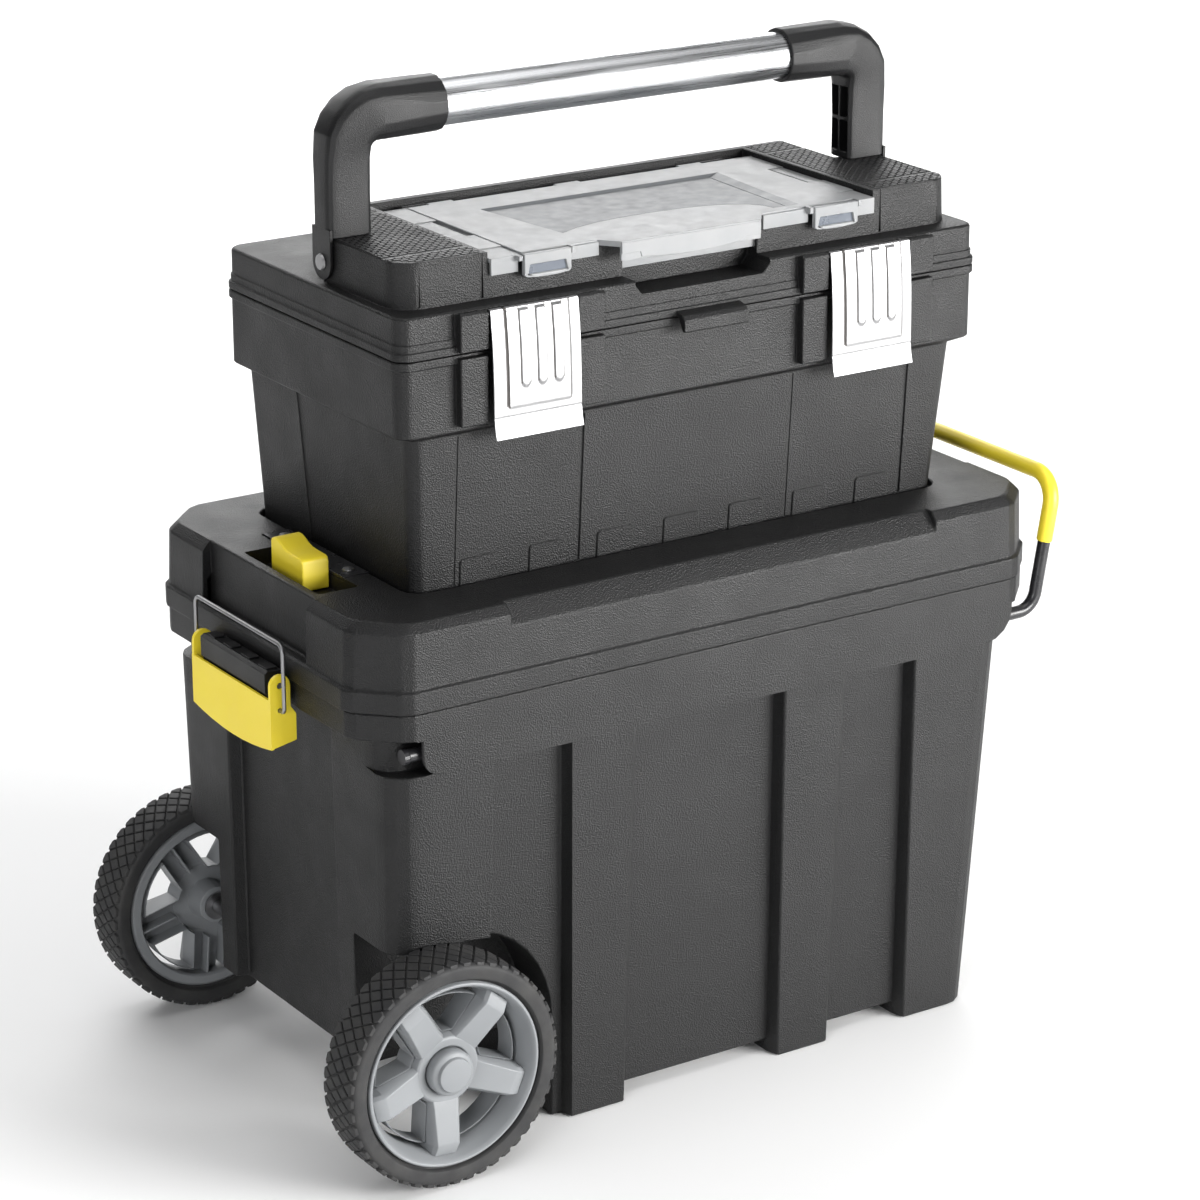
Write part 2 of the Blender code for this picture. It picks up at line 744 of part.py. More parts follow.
def make_slide_lock(yellow, steel, bright):
    """The yellow slide in its pocket, and the riveted plate beside it."""
    half_x, half_y = 0.0108, 0.0225
    low = rounded_rect(half_x, half_y, 0.002, (SLIDER_X, SLIDER_Y), 2)
    high = rounded_rect(half_x - 0.001, half_y - 0.001, 0.0015, (SLIDER_X, SLIDER_Y), 2)
    sections = [(low, POCKET_FLOOR_Z + GAP), (low, 0.4195), (high, 0.4210)]
    loft("lock_slider", sections, yellow)
    plate_low = 0.4010 + GAP
    plate = box("lock_plate", (-0.2330, -0.048, plate_low), (-0.2125, 0.066, PLATE_TOP_Z), steel)
    for y, name in ((-0.036, "front"), (0.054, "back")):
        centre = (-0.2222, y, 0)
        cut(plate, rod(f"cut_rivet_{name}", 0.0022, "Z", centre, plate_low - 0.01, PLATE_TOP_Z + 0.01))
        profile = [
            (0, plate_low),
            (0.0019, plate_low),
            (0.0019, PLATE_TOP_Z + GAP),
            (0.0045, PLATE_TOP_Z + GAP),
            (0.0038, PLATE_TOP_Z + 0.0014),
            (0, PLATE_TOP_Z + 0.0020),
        ]
        turned(f"lock_rivet_{name}", profile, "Z", centre, bright, 16)


def make_end_latch(black, yellow, steel):
    """A bracket on the chest's rim, a lever on a pin through it, and the wire bail over the lid's edge."""
    rim = -RIM_LEFT_X - GAP
    flange = -LID_LEFT_X - FLANGE_OUT_X - 0.0008
    profile = [
        (rim, 0.3215),
        (rim, 0.3390),
        (flange, 0.3390),
        (flange, 0.3452),
        (-0.2935, 0.3462),
        (-0.2962, 0.3442),
        (-0.2962, 0.3300),
        (-0.2945, 0.3288),
        (-0.2945, 0.3215),
    ]
    bracket = prism("latch_bracket", profile, "Y", -0.047, 0.047, black)
    pivot = (LEVER_PIVOT_X, 0, LEVER_PIVOT_Z)
    cut(bracket, rod("cut_bracket_pin", LATCH_PIN_R + GAP, "Y", pivot, -0.06, 0.06))
    rod("latch_pin", LATCH_PIN_R, "Y", pivot, -0.0572, 0.0572, steel)
    face = []
    for step in range(9):
        share = -1 + 2 * step / 8
        face.append((share * LEVER_HALF_Y, 0.286 + 0.006 * share * share))
    face += [(LEVER_HALF_Y, LEVER_PLATE_TOP_Z), (-LEVER_HALF_Y, LEVER_PLATE_TOP_Z)]
    lever = prism("latch_lever", face, "X", LEVER_X, LEVER_X + 0.0023, yellow)
    for side in (-1, 1):
        cheek = [
            (LEVER_X + 0.0001, 0.2922),
            (-0.2780, 0.2960),
            (-0.2780, 0.3160),
            (-0.2822, 0.3220),
        ]
        for step in range(9):
            angle = math.radians(180 * step / 8)
            x = LEVER_PIVOT_X + (EAR_R - 0.0001) * math.cos(angle)
            cheek.append((x, LEVER_PIVOT_Z + EAR_R * math.sin(angle)))
        span = sorted((side * LEVER_HALF_Y, side * (LEVER_HALF_Y - 0.0032)))
        join(lever, prism(f"add_cheek_{side}", cheek, "Y", *span))
    cut(lever, rod("cut_lever_pin", LATCH_PIN_R + GAP, "Y", pivot, -0.07, 0.07))
    bail_pivot = (BAIL_X, 0, BAIL_PIVOT_Z)
    cut(lever, rod("cut_bail_holes", BAIL_R + GAP, "Y", bail_pivot, -0.07, 0.07, segments=12))
    place_origin(lever, pivot)
    foot = Vector((BAIL_X, -0.0525, BAIL_PIVOT_Z))
    turn = Vector((BAIL_X, -BAIL_HALF_Y, BAIL_PIVOT_Z))
    shoulder = Vector((BAIL_X, -BAIL_HALF_Y, BAIL_TOP_Z))
    middle = Vector((BAIL_X, 0, BAIL_TOP_Z))
    half = [foot] + corner_arc(turn, foot, shoulder, 0.003, 3)
    half += corner_arc(shoulder, turn, middle, 0.006, 4)
    path = half + [Vector((p.x, -p.y, p.z)) for p in reversed(half)]
    bail = bent_rod("latch_bail", path, BAIL_R, bpy.data.materials["bright_steel"], 8)
    place_origin(bail, bail_pivot)


# ---------------------------------------------------------------- upper box

def centred(half_x, half_y, centre_x, centre_y, corner=BOX_CORNER_R):
    return rounded_rect(half_x, half_y, corner, (centre_x, centre_y), 4)


def make_box_base(mat):
    """A cup: up the outside to the lip, then down the inside to the floor."""
    bottom = centred(0.2240, 0.1085, 0.0150, 0.0065)
    shoulder = centred(0.2310, 0.1160, 0.0170, 0.0060)
    band = centred(0.2435, 0.1215, BOX_X, BOX_LID_Y)
    lip = centred(*BOX_LID_HALF, BOX_X, BOX_LID_Y)
    band_inside = centred(0.2405, 0.1185, BOX_X, BOX_LID_Y)
    shoulder_inside = centred(0.2280, 0.1130, 0.0170, 0.0060)
    bottom_inside = centred(0.2210, 0.1055, 0.0150, 0.0065)
    top = BOX_SEAM_Z - GAP
    sections = [
        (bottom, BASE_BOTTOM_Z),
        (shoulder, BASE_SHOULDER_Z),
        (band, BASE_BAND_Z),
        (band, 0.5635),
        (lip, 0.5640),
        (lip, top),
        (band_inside, top),
        (band_inside, BASE_BAND_Z + 0.0035),
        (shoulder_inside, BASE_BAND_Z + 0.0030),
        (bottom_inside, BASE_BOTTOM_Z + 0.003),
    ]
    base = loft("box_base", sections, mat)
    front = BOX_LID_Y - BOX_LID_HALF[1]
    for index, (low, high) in enumerate(boss_spans()):
        boss = box(f"add_base_boss_{index}", (low, BOSS_Y, 0.5200), (high, front + 0.003, 0.5680))
        join(base, boss)
    for index, span in enumerate(((-0.150, -0.110), (0.149, 0.189))):
        name = f"add_base_knuckle_{index}"
        wall_y = BOX_LID_Y + BOX_LID_HALF[1] - 0.002
        arm = (0.5675, 0.5560)
        join(base, knuckle(name, span, BOX_HINGE_Y, BOX_HINGE_Z, BOX_KNUCKLE_R, wall_y, arm, False))
    bore = (0, BOX_HINGE_Y, BOX_HINGE_Z)
    cut(base, rod("cut_base_rod", BOX_ROD_R + GAP, "X", bore, -0.3, 0.3))
    for index, (low, high) in enumerate(((-0.0800, -0.0750), (0.2010, 0.2060))):
        top = (high, -0.1085, BASE_SHOULDER_Z - 0.002)
        cut(base, box(f"cut_base_groove_{index}", (low, -0.13, 0.43), top))


def boss_spans():
    """The stiffening blocks on both sides of each steel latch."""
    spans = []
    for middle in STEEL_LATCH_XS:
        outer = middle - STEEL_LATCH_HALF - 0.0008
        inner = middle + STEEL_LATCH_HALF + 0.0008
        spans.append((outer - 0.022, outer))
        spans.append((inner, inner + 0.022))
    return spans


def deck_outline(inset=0.0):
    """The raised middle of the lid, with round front corners."""
    front = DECK_FRONT_Y + inset
    back = DECK_BACK_Y - inset
    half_x = DECK_HALF_X - 0.0007 - inset
    corner = 0.020 - inset
    points = [
        (half_x, back - 0.008),
        (half_x - 0.008, back),
        (-half_x + 0.008, back),
        (-half_x, back - 0.008),
    ]
    for side, first in ((-1, 180), (1, 270)):
        for step in range(6):
            angle = math.radians(first + 18 * step)
            x = side * (half_x - corner) + corner * math.cos(angle)
            points.append((x, front + corner + corner * math.sin(angle)))
    return [(x + BOX_X, y) for x, y in points]


def make_box_lid(mat):
    lip = centred(*BOX_LID_HALF, BOX_X, BOX_LID_Y)
    groove = centred(0.2438, 0.1218, BOX_X, BOX_LID_Y)
    top = centred(0.2430, 0.1210, BOX_X, BOX_LID_Y)
    seam = BOX_SEAM_Z + GAP
    sections = [
        (lip, seam),
        (lip, 0.5755),
        (groove, 0.5762),
        (groove, BOX_LID_BAND_Z),
        (top, BOX_LID_BAND_Z + 0.0005),
        (top, LEDGE_Z - 0.0015),
        (centred(0.2415, 0.1195, BOX_X, BOX_LID_Y), LEDGE_Z),
    ]
    lid = loft("box_lid", sections, mat)
    join(lid, loft("add_deck", [(deck_outline(), LEDGE_Z - 0.002), (deck_outline(0.0012), DECK_Z)]))
    for index, (low, high) in enumerate(boss_spans()):
        profile = [
            (BOSS_Y, seam + 0.0015),
            (-0.112, seam + 0.0015),
            (-0.112, 0.5970),
            (BOSS_Y + 0.002, 0.5992),
            (BOSS_Y, 0.5975),
        ]
        join(lid, prism(f"add_lid_boss_{index}", profile, "X", low, high))
    tab = [
        (-0.1135, 0.5745),
        (-0.1240, 0.5725),
        (-0.1270, 0.5690),
        (-0.1270, 0.5605),
        (-0.1240, 0.5605),
        (-0.1185, seam),
        (-0.1135, seam),
    ]
    join(lid, prism("add_finger_tab", tab, "X", -0.0027, 0.0516))
    for index, span in enumerate(((-0.107, -0.067), (0.106, 0.146))):
        name = f"add_box_lid_knuckle_{index}"
        wall_y = BOX_LID_Y + BOX_LID_HALF[1] - 0.003
        arm = (0.5725, 0.5840)
        join(lid, knuckle(name, span, BOX_HINGE_Y, BOX_HINGE_Z, BOX_KNUCKLE_R, wall_y, arm, True))
    inside = centred(0.2385, 0.1165, BOX_X, BOX_LID_Y)
    cut(lid, loft("cut_lid_lower_inside", [(inside, BOX_SEAM_Z - 0.01), (inside, 0.5865)]))
    cut(lid, box("cut_lid_upper_inside", (-0.190, -0.080, 0.58), (0.229, 0.062, 0.6003)))
    pocket_low = (ORG_LEFT_X + 0.003, -0.0950, ORG_POCKET_Z)
    cut(lid, box("cut_organizer_pocket", pocket_low, (ORG_RIGHT_X - 0.003, 0.0490, DECK_Z + 0.01)))
    seat_low = (ORG_LEFT_X - 0.0006, -0.13, ORG_LID_Z - 0.0006)
    cut(lid, box("cut_organizer_seat", seat_low, (ORG_RIGHT_X + 0.0006, 0.0640, DECK_Z + 0.01)))
    scoop = [
        (-0.0350, 0.6135),
        (-0.0350, 0.5970),
        (-0.0295, 0.5900),
        (0.0725, 0.5900),
        (0.0785, 0.5970),
        (0.0785, 0.6135),
    ]
    cut(lid, prism("cut_scoop", scoop, "Y", -0.140, -0.0865))
    for side in (-1, 1):
        inner = BOX_X + side * (ARM_IN_X - 0.0012)
        outer = BOX_X + side * 0.26
        low_x, high_x = sorted((inner, outer))
        cut(lid, box(f"cut_arm_room_{side}", (low_x, 0.003, LEDGE_Z), (high_x, 0.1, DECK_Z + 0.01)))
        boss_from, boss_to = sorted((side * (ARM_IN_X - 0.004), side * (DECK_HALF_X - 0.0009)))
        pivot = (BOX_X, 0, PIVOT_Z)
        join(lid, rod(f"add_arm_boss_{side}", 0.0105, "X", pivot, boss_from, boss_to, segments=20))
        bore_from, bore_to = sorted((side * 0.222, side * 0.26))
        bore = rod(f"cut_arm_bore_{side}", CARRY_PIN_R + GAP, "X", pivot, bore_from, bore_to)
        cut(lid, bore)
    for index, x in enumerate((-0.1985, -0.1490, 0.1865, 0.2380)):
        low = (x - 0.0012, -0.12, LEDGE_Z + 0.001)
        high = (x + 0.0012, -0.0965, DECK_Z + 0.01)
        cut(lid, box(f"cut_deck_groove_{index}", low, high))
    for middle in STEEL_LATCH_XS:
        low = (middle - STEEL_LATCH_HALF - 0.0012, -0.13, 0.5905)
        high = (middle + STEEL_LATCH_HALF + 0.0012, STEEL_PIN_Y + BARREL_R + 0.0008, 0.62)
        cut(lid, box(f"cut_barrel_room_{middle:.2f}", low, high))
        reach = STEEL_LATCH_HALF + 0.008
        pin = (middle, STEEL_PIN_Y, STEEL_PIN_Z)
        bore = rod(f"cut_steel_pin_{middle:.2f}", STEEL_PIN_R + GAP, "X", pin, -reach, reach, segments=12)
        cut(lid, bore)
    cut(lid, rod("cut_lid_rod_room", BOX_ROD_R + GAP, "X", (0, BOX_HINGE_Y, BOX_HINGE_Z), -0.3, 0.3))
    rear = (0, ORG_HINGE_Y, ORG_HINGE_Z)
    for index, span in enumerate(((-0.1200, -0.1000), (0.1370, 0.1570))):
        stand = [
            (ORG_HINGE_Y + ORG_KNUCKLE_R, ORG_HINGE_Z),
            (ORG_HINGE_Y + 0.0018, ORG_HINGE_Z + 0.0018),
            (ORG_HINGE_Y, ORG_HINGE_Z + ORG_KNUCKLE_R),
            (ORG_HINGE_Y - 0.0018, ORG_HINGE_Z + 0.0018),
            (ORG_HINGE_Y - ORG_KNUCKLE_R, ORG_HINGE_Z),
            (ORG_HINGE_Y - ORG_KNUCKLE_R, 0.6200),
            (ORG_HINGE_Y + ORG_KNUCKLE_R, 0.6200),
        ]
        join(lid, prism(f"add_organizer_stand_{index}", stand, "X", *span))
    cut(lid, rod("cut_organizer_rod", 0.0009 + GAP, "X", rear, -0.16, 0.20, segments=10))
    place_origin(lid, (0, BOX_HINGE_Y, BOX_HINGE_Z))


def make_inner_tray(mat):
    """A tray that hangs by its flange on the step inside the base, with a grip along its middle."""
    sections = [
        (centred(0.2180, 0.1035, 0.0170, 0.0060), 0.4800),
        (centred(0.2230, 0.1085, 0.0170, 0.0060), 0.5196),
        (centred(0.2370, 0.1155, BOX_X, BOX_LID_Y), 0.5199),
        (centred(0.2370, 0.1155, BOX_X, BOX_LID_Y), 0.5450),
        (centred(0.2345, 0.1130, BOX_X, BOX_LID_Y), 0.5450),
        (centred(0.2345, 0.1130, BOX_X, BOX_LID_Y), 0.5225),
        (centred(0.2205, 0.1060, 0.0170, 0.0060), 0.5220),
        (centred(0.2155, 0.1010, 0.0170, 0.0060), 0.4825),
    ]
    tray = loft("inner_tray", sections, mat)
    grip = [
        (-0.1990, 0.4810),
        (0.2330, 0.4810),
        (0.2330, 0.5200),
        (0.1150, 0.5200),
        (0.0950, 0.5600),
        (-0.0600, 0.5600),
        (-0.0800, 0.5200),
        (-0.1990, 0.5200),
    ]
    join(tray, prism("add_tray_grip", grip, "Y", 0.0020, 0.0050))
    slot = rounded_rect(0.045, 0.011, 0.0105, (0.0175, 0.5400), 3)
    cut(tray, prism("cut_tray_slot", slot, "Y", -0.02, 0.03))


def make_steel_latch(name, middle, steel, pin_steel):
    """A fluted steel plate that hangs from a pin, with a rolled top and a flared lower lip."""
    pin_y, pin_z = STEEL_PIN_Y, STEEL_PIN_Z
    outer = [(pin_y, pin_z + BARREL_R)]
    for step in range(1, 7):
        angle = math.radians(90 + 15 * step)
        outer.append((pin_y + BARREL_R * math.cos(angle), pin_z + BARREL_R * math.sin(angle)))
    outer += [
        (-0.1232, 0.5800),
        (-0.1252, 0.5500),
        (-0.1262, 0.5250),
        (-0.1290, STEEL_BOTTOM_Z),
    ]
    inner = [
        (-0.1290 + STEEL_SHEET, STEEL_BOTTOM_Z),
        (-0.1262 + STEEL_SHEET, 0.5250),
        (-0.1252 + STEEL_SHEET, 0.5500),
        (-0.1232 + STEEL_SHEET, 0.5800),
        (pin_y - 0.0001, pin_z - BARREL_R),
    ]
    for step in range(1, 7):
        angle = math.radians(270 + 30 * step)
        inner.append((pin_y + BARREL_R * math.cos(angle), pin_z + BARREL_R * math.sin(angle)))
    profile = outer + inner[:-1]
    left, right = middle - STEEL_LATCH_HALF, middle + STEEL_LATCH_HALF
    plate = prism(f"steel_latch_{name}", profile, "X", left, right, steel)
    for index, offset in enumerate((-0.016, 0.0, 0.016)):
        x = middle + offset
        low = (x - 0.0032, -0.1300, 0.528)
        high = (x + 0.0032, -0.12455, 0.575)
        cut(plate, box(f"cut_flute_{name}_{index}", low, high))
    pin = (middle, pin_y, pin_z)
    cut(plate, rod(f"cut_barrel_{name}", STEEL_PIN_R + GAP, "X", pin, -0.05, 0.05, segments=12))
    place_origin(plate, pin)
    reach = STEEL_LATCH_HALF + 0.0075
    rod(f"steel_pin_{name}", STEEL_PIN_R, "X", pin, -reach, reach, pin_steel, 12)


# ---------------------------------------------------------------- carry handle

def ring_points(centre, along, half_wide, half_deep, square):
    """A rounded cross-section across a direction in the XZ plane. square is 0 for round and 1 for boxy."""
    across = Vector((-along.z, 0, along.x))
    points = []
    for k in range(16):
        angle = 2 * math.pi * (k + 0.5) / 16
        c, s = math.cos(angle), math.sin(angle)
        power = 1 - 0.62 * square
        u = math.copysign(abs(c) ** power, c) * half_wide
        v = math.copysign(abs(s) ** power, s) * half_deep
        points.append(centre + across * u + Vector((0, v, 0)))
    return points


def make_carry_arm(side, name, mat):
    """One arm: a thin plate at the pivot, a boxy leg, a big round corner and a sleeve round the tube."""
    leg_x = (ARM_OUT_X + ARM_IN_X) / 2
    leg_half = (ARM_OUT_X - ARM_IN_X) / 2
    bend = 0.024
    stations = [
        (leg_x, ARM_BOTTOM_Z, 90, leg_half, ARM_HALF_Y, 1.0),
        (leg_x, ARM_BOTTOM_Z + 0.030, 90, leg_half, ARM_HALF_Y, 1.0),
        (leg_x, TUBE_Z - bend - 0.006, 90, leg_half, ARM_HALF_Y + 0.001, 1.0),
    ]
    for step in range(1, 6):
        angle = 90 * step / 5
        x = leg_x - bend + bend * math.cos(math.radians(angle))
        z = TUBE_Z - bend + bend * math.sin(math.radians(angle))
        share = step / 5
        wide = leg_half + (SLEEVE_R - leg_half) * share
        deep = ARM_HALF_Y + 0.002 + (SLEEVE_R - ARM_HALF_Y - 0.002) * share
        stations.append((x, z, 90 + angle, wide, deep, 1.0 - 0.55 * share))
    stations.append((SLEEVE_END_X + 0.012, TUBE_Z, 180, SLEEVE_R, SLEEVE_R, 0.15))
    stations.append((SLEEVE_END_X, TUBE_Z, 180, SLEEVE_R, SLEEVE_R, 0.0))
    bm = bmesh.new()
    rings = []
    for x, z, heading, wide, deep, square in stations:
        along = Vector((math.cos(math.radians(heading)), 0, math.sin(math.radians(heading))))
        ring = ring_points(Vector((x, 0, z)), along, wide, deep, square)
        rings.append([bm.verts.new((BOX_X + side * p.x, p.y, p.z)) for p in ring])
    for first, second in zip(rings, rings[1:]):
        for k in range(16):
            n = (k + 1) % 16
            bm.faces.new((first[k], first[n], second[n], second[k]))
    bm.faces.new(rings[0][::-1])
    bm.faces.new(rings[-1])
    arm = new_object(f"carry_arm_{name}", bm, mat)
    plate = []
    for step in range(11):
        angle = math.radians(180 + 180 * step / 10)
        plate.append((0.0124 * math.cos(angle), PIVOT_Z + 0.0124 * math.sin(angle)))
    plate += [(0.0124, ARM_BOTTOM_Z + 0.006), (-0.0124, ARM_BOTTOM_Z + 0.006)]
    span = sorted((BOX_X + side * ARM_PLATE_X, BOX_X + side * (ARM_OUT_X - 0.0001)))
    join(arm, prism(f"add_arm_plate_{side}", plate, "X", *span))
    socket = (BOX_X, 0, TUBE_Z)
    inner, outer = sorted((side * (SLEEVE_END_X - 0.01), side * (SLEEVE_END_X + SOCKET_DEPTH)))
    cut(arm, rod(f"cut_socket_{side}", TUBE_R + GAP, "X", socket, inner, outer, segments=28))
    low_x, high_x = sorted((BOX_X + side * (ARM_IN_X - 0.01), BOX_X + side * (ARM_IN_X + 0.012)))
    for index, (low_z, high_z) in enumerate(((0.638, 0.661), (0.6635, 0.686))):
        for half, low_y in enumerate((-0.0095, 0.0010)):
            pocket_high = (high_x, low_y + 0.0085, high_z)
            pocket = box(f"cut_arm_pocket_{side}_{index}_{half}", (low_x, low_y, low_z), pocket_high)
            cut(arm, pocket)
    pivot = (BOX_X, 0, PIVOT_Z)
    bore_from, bore_to = sorted((side * 0.22, side * 0.26))
    cut(arm, rod(f"cut_arm_hole_{side}", CARRY_PIN_R + GAP, "X", pivot, bore_from, bore_to))
    place_origin(arm, pivot)
    profile = [
        (0, side * 0.2235),
        (CARRY_PIN_R, side * 0.2235),
        (CARRY_PIN_R, side * (ARM_OUT_X + GAP)),
        (0.0060, side * (ARM_OUT_X + GAP)),
        (0.0052, side * (ARM_OUT_X + 0.0018)),
        (0, side * (ARM_OUT_X + 0.0021)),
    ]
    turned(f"carry_pin_{name}", profile, "X", pivot, bpy.data.materials["bright_steel"], 20)


def make_carry_tube(mat):
    reach = SLEEVE_END_X + SOCKET_DEPTH - GAP
    profile = [
        (TUBE_R - 0.002, -reach),
        (TUBE_R, -reach),
        (TUBE_R, reach),
        (TUBE_R - 0.002, reach),
    ]
    tube = turned("carry_tube", profile, "X", (BOX_X, 0, TUBE_Z), mat, 28)
    place_origin(tube, (BOX_X, 0, PIVOT_Z))


# ---------------------------------------------------------------- organizer

def make_organizer(clear, clear_lid, steel):
    """A clear tray sunk in the deck, its clear lid on a thin rod, and two clips on the lid's front edge."""
    low_x, high_x = ORG_LEFT_X + 0.0036, ORG_RIGHT_X - 0.0036
    low_y, high_y = -0.0944, 0.0484
    centre = ((low_x + high_x) / 2, (low_y + high_y) / 2)
    half = ((high_x - low_x) / 2, (high_y - low_y) / 2)
    floor = ORG_POCKET_Z + 0.0005
    top = ORG_LID_Z - 0.0010
    outside = rounded_rect(*half, 0.004, centre, 2)
    inside = rounded_rect(half[0] - 0.0018, half[1] - 0.0018, 0.0025, centre, 2)
    sections = [(outside, floor), (outside, top), (inside, top), (inside, floor + 0.0015)]
    tray = loft("organizer_tray", sections, clear)
    for index, x in enumerate((-0.0620, 0.0185, 0.0990)):
        wall_low = (x - 0.0007, low_y + 0.001, floor + 0.001)
        wall_high = (x + 0.0007, high_y - 0.001, top - 0.001)
        wall = box(f"add_divider_x_{index}", wall_low, wall_high)
        join(tray, wall)
    y = centre[1]
    wall_low = (low_x + 0.001, y - 0.0007, floor + 0.001)
    wall_high = (high_x - 0.001, y + 0.0007, top - 0.001)
    join(tray, box("add_divider_y", wall_low, wall_high))
    plan = [
        (ORG_LEFT_X, 0.0520),
        (ORG_LEFT_X, -0.0980),
        (-0.0560, -0.0980),
        (-0.0450, -0.1120),
        (0.0710, -0.1120),
        (0.0820, -0.0980),
        (ORG_RIGHT_X, -0.0980),
        (ORG_RIGHT_X, 0.0520),
    ]
    lid = prism("organizer_lid", plan, "Z", ORG_LID_Z, ORG_TOP_Z, clear_lid)
    lip = box("add_bulge_lip", (-0.0455, -0.1120, 0.6150), (0.0715, -0.1098, ORG_LID_Z + 0.001))
    join(lid, lip)
    panel_low = (-0.0700, -0.0800, ORG_TOP_Z - 0.0016)
    cut(lid, box("cut_sunken_panel", panel_low, (0.1080, 0.0300, ORG_TOP_Z + 0.01)))
    hinge = (0, ORG_HINGE_Y, ORG_HINGE_Z)
    for index, span in enumerate(((-0.0990, -0.0790), (0.0085, 0.0285), (0.1160, 0.1360))):
        outline = [(0.0510, ORG_LID_Z), (0.0510, ORG_TOP_Z - 0.0002)]
        for step in range(9):
            angle = math.radians(90 - 180 * step / 8)
            y = ORG_HINGE_Y + 0.0016 * math.cos(angle)
            outline.append((y, ORG_HINGE_Z + 0.0022 * math.sin(angle)))
        join(lid, prism(f"add_organizer_knuckle_{index}", outline, "X", *span))
    cut(lid, rod("cut_organizer_lid_rod", 0.0009 + GAP, "X", hinge, -0.16, 0.20, segments=10))
    ear_span = CLIP_HALF + 0.0008
    for middle in CLIP_XS:
        for sign in (-1, 1):
            near, far = sorted((middle + sign * ear_span, middle + sign * (ear_span + 0.003)))
            ear_low = (near, CLIP_Y - 0.0022, ORG_LID_Z - 0.0006)
            ear = box(f"add_clip_ear_{middle:.2f}_{sign}", ear_low, (far, -0.0970, ORG_TOP_Z))
            join(lid, ear)
        reach = ear_span + 0.0022
        pin = (middle, CLIP_Y, CLIP_Z)
        bore = rod(f"cut_clip_bore_{middle:.2f}", 0.0008 + GAP, "X", pin, -reach, reach, segments=10)
        cut(lid, bore)
    place_origin(lid, (0, ORG_HINGE_Y, ORG_HINGE_Z))
    rod("organizer_rod", 0.0009, "X", hinge, -0.1195, 0.1565, steel, 10)
    for middle, name in zip(CLIP_XS, ("left", "right")):
        profile = [
            (CLIP_Y + 0.0018, CLIP_Z - 0.0016),
            (CLIP_Y + 0.0018, CLIP_Z + 0.0016),
            (CLIP_Y - 0.0018, CLIP_Z + 0.0020),
            (CLIP_Y - 0.0026, CLIP_Z),
            (CLIP_Y - 0.0030, 0.6120),
            (CLIP_Y - 0.0008, 0.6112),
            (CLIP_Y - 0.0002, 0.6220),
        ]
        left, right = middle - CLIP_HALF, middle + CLIP_HALF
        clip = prism(f"organizer_clip_{name}", profile, "X", left, right, clear_lid)
        reach = CLIP_HALF + 0.0026
        pin = (middle, CLIP_Y, CLIP_Z)
        join(clip, rod(f"add_clip_stub_{name}", 0.0008, "X", pin, -reach, reach, segments=10))
        place_origin(clip, (middle, CLIP_Y, CLIP_Z))


def main():
    clear_scene()
    black = material("black_plastic", (0.022, 0.022, 0.024), 0.55)
    frame_black = material("handle_plastic", (0.018, 0.018, 0.020), 0.45)
    yellow = material("yellow_plastic", (0.95, 0.72, 0.02), 0.40)
    grey = material("grey_plastic", (0.42, 0.43, 0.45), 0.50)
    rubber = material("tyre_rubber", (0.030, 0.030, 0.032), 0.75)
    steel = material("steel", (0.30, 0.30, 0.31), 0.35, 1.0)
    bright = material("bright_steel", (0.72, 0.72, 0.73), 0.28, 1.0)
    aluminium = material("aluminium", (0.80, 0.81, 0.82), 0.25, 1.0)
    rod_black = material("black_rod", (0.020, 0.020, 0.022), 0.35)
    clear = material("clear_plastic", (0.80, 0.83, 0.85), 0.30)
    make_chest_shell(black)
    make_axle(steel)
    for side, name in ((-1, "front"), (1, "back")):
        make_wheel(side, name, rubber, grey, steel)
    make_pull_handle(rod_black, yellow, steel)
    make_chest_lid(black)
    make_slide_lock(yellow, rod_black, bright)
    make_end_latch(frame_black, yellow, steel)
    make_box_base(black)
    make_box_lid(black)
    rod("box_hinge_rod", BOX_ROD_R, "X", (0, BOX_HINGE_Y, BOX_HINGE_Z), -0.1495, 0.1885, steel)
    make_inner_tray(frame_black)
    for middle, name in zip(STEEL_LATCH_XS, ("left", "right")):
        make_steel_latch(name, middle, bright, steel)
    for side, name in ((-1, "left"), (1, "right")):
        make_carry_arm(side, name, frame_black)
    make_carry_tube(aluminium)
    make_organizer(clear, clear, steel)


main()
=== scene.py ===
"""Looks of the rolling tool box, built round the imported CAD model. Metres, in the CAD frame."""

import json
import math

import bmesh
import bpy
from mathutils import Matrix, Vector
from mathutils.bvhtree import BVHTree


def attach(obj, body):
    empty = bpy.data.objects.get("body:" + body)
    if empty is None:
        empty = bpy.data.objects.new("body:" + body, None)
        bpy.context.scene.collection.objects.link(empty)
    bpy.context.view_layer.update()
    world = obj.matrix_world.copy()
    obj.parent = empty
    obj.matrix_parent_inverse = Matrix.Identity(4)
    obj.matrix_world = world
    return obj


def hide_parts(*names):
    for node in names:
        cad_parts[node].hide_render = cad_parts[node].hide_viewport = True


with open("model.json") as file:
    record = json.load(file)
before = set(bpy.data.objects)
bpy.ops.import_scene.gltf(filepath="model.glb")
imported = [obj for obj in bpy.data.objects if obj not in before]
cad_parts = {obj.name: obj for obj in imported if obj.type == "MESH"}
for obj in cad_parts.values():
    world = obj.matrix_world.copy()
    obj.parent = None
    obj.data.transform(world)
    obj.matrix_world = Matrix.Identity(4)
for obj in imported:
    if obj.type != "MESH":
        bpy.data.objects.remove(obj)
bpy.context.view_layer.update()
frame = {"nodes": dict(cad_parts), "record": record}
nodes = frame["nodes"]


# ---------------------------------------------------------------- stage

FLOOR_Z = -0.0006
BACKGROUND_STRENGTH = 0.07


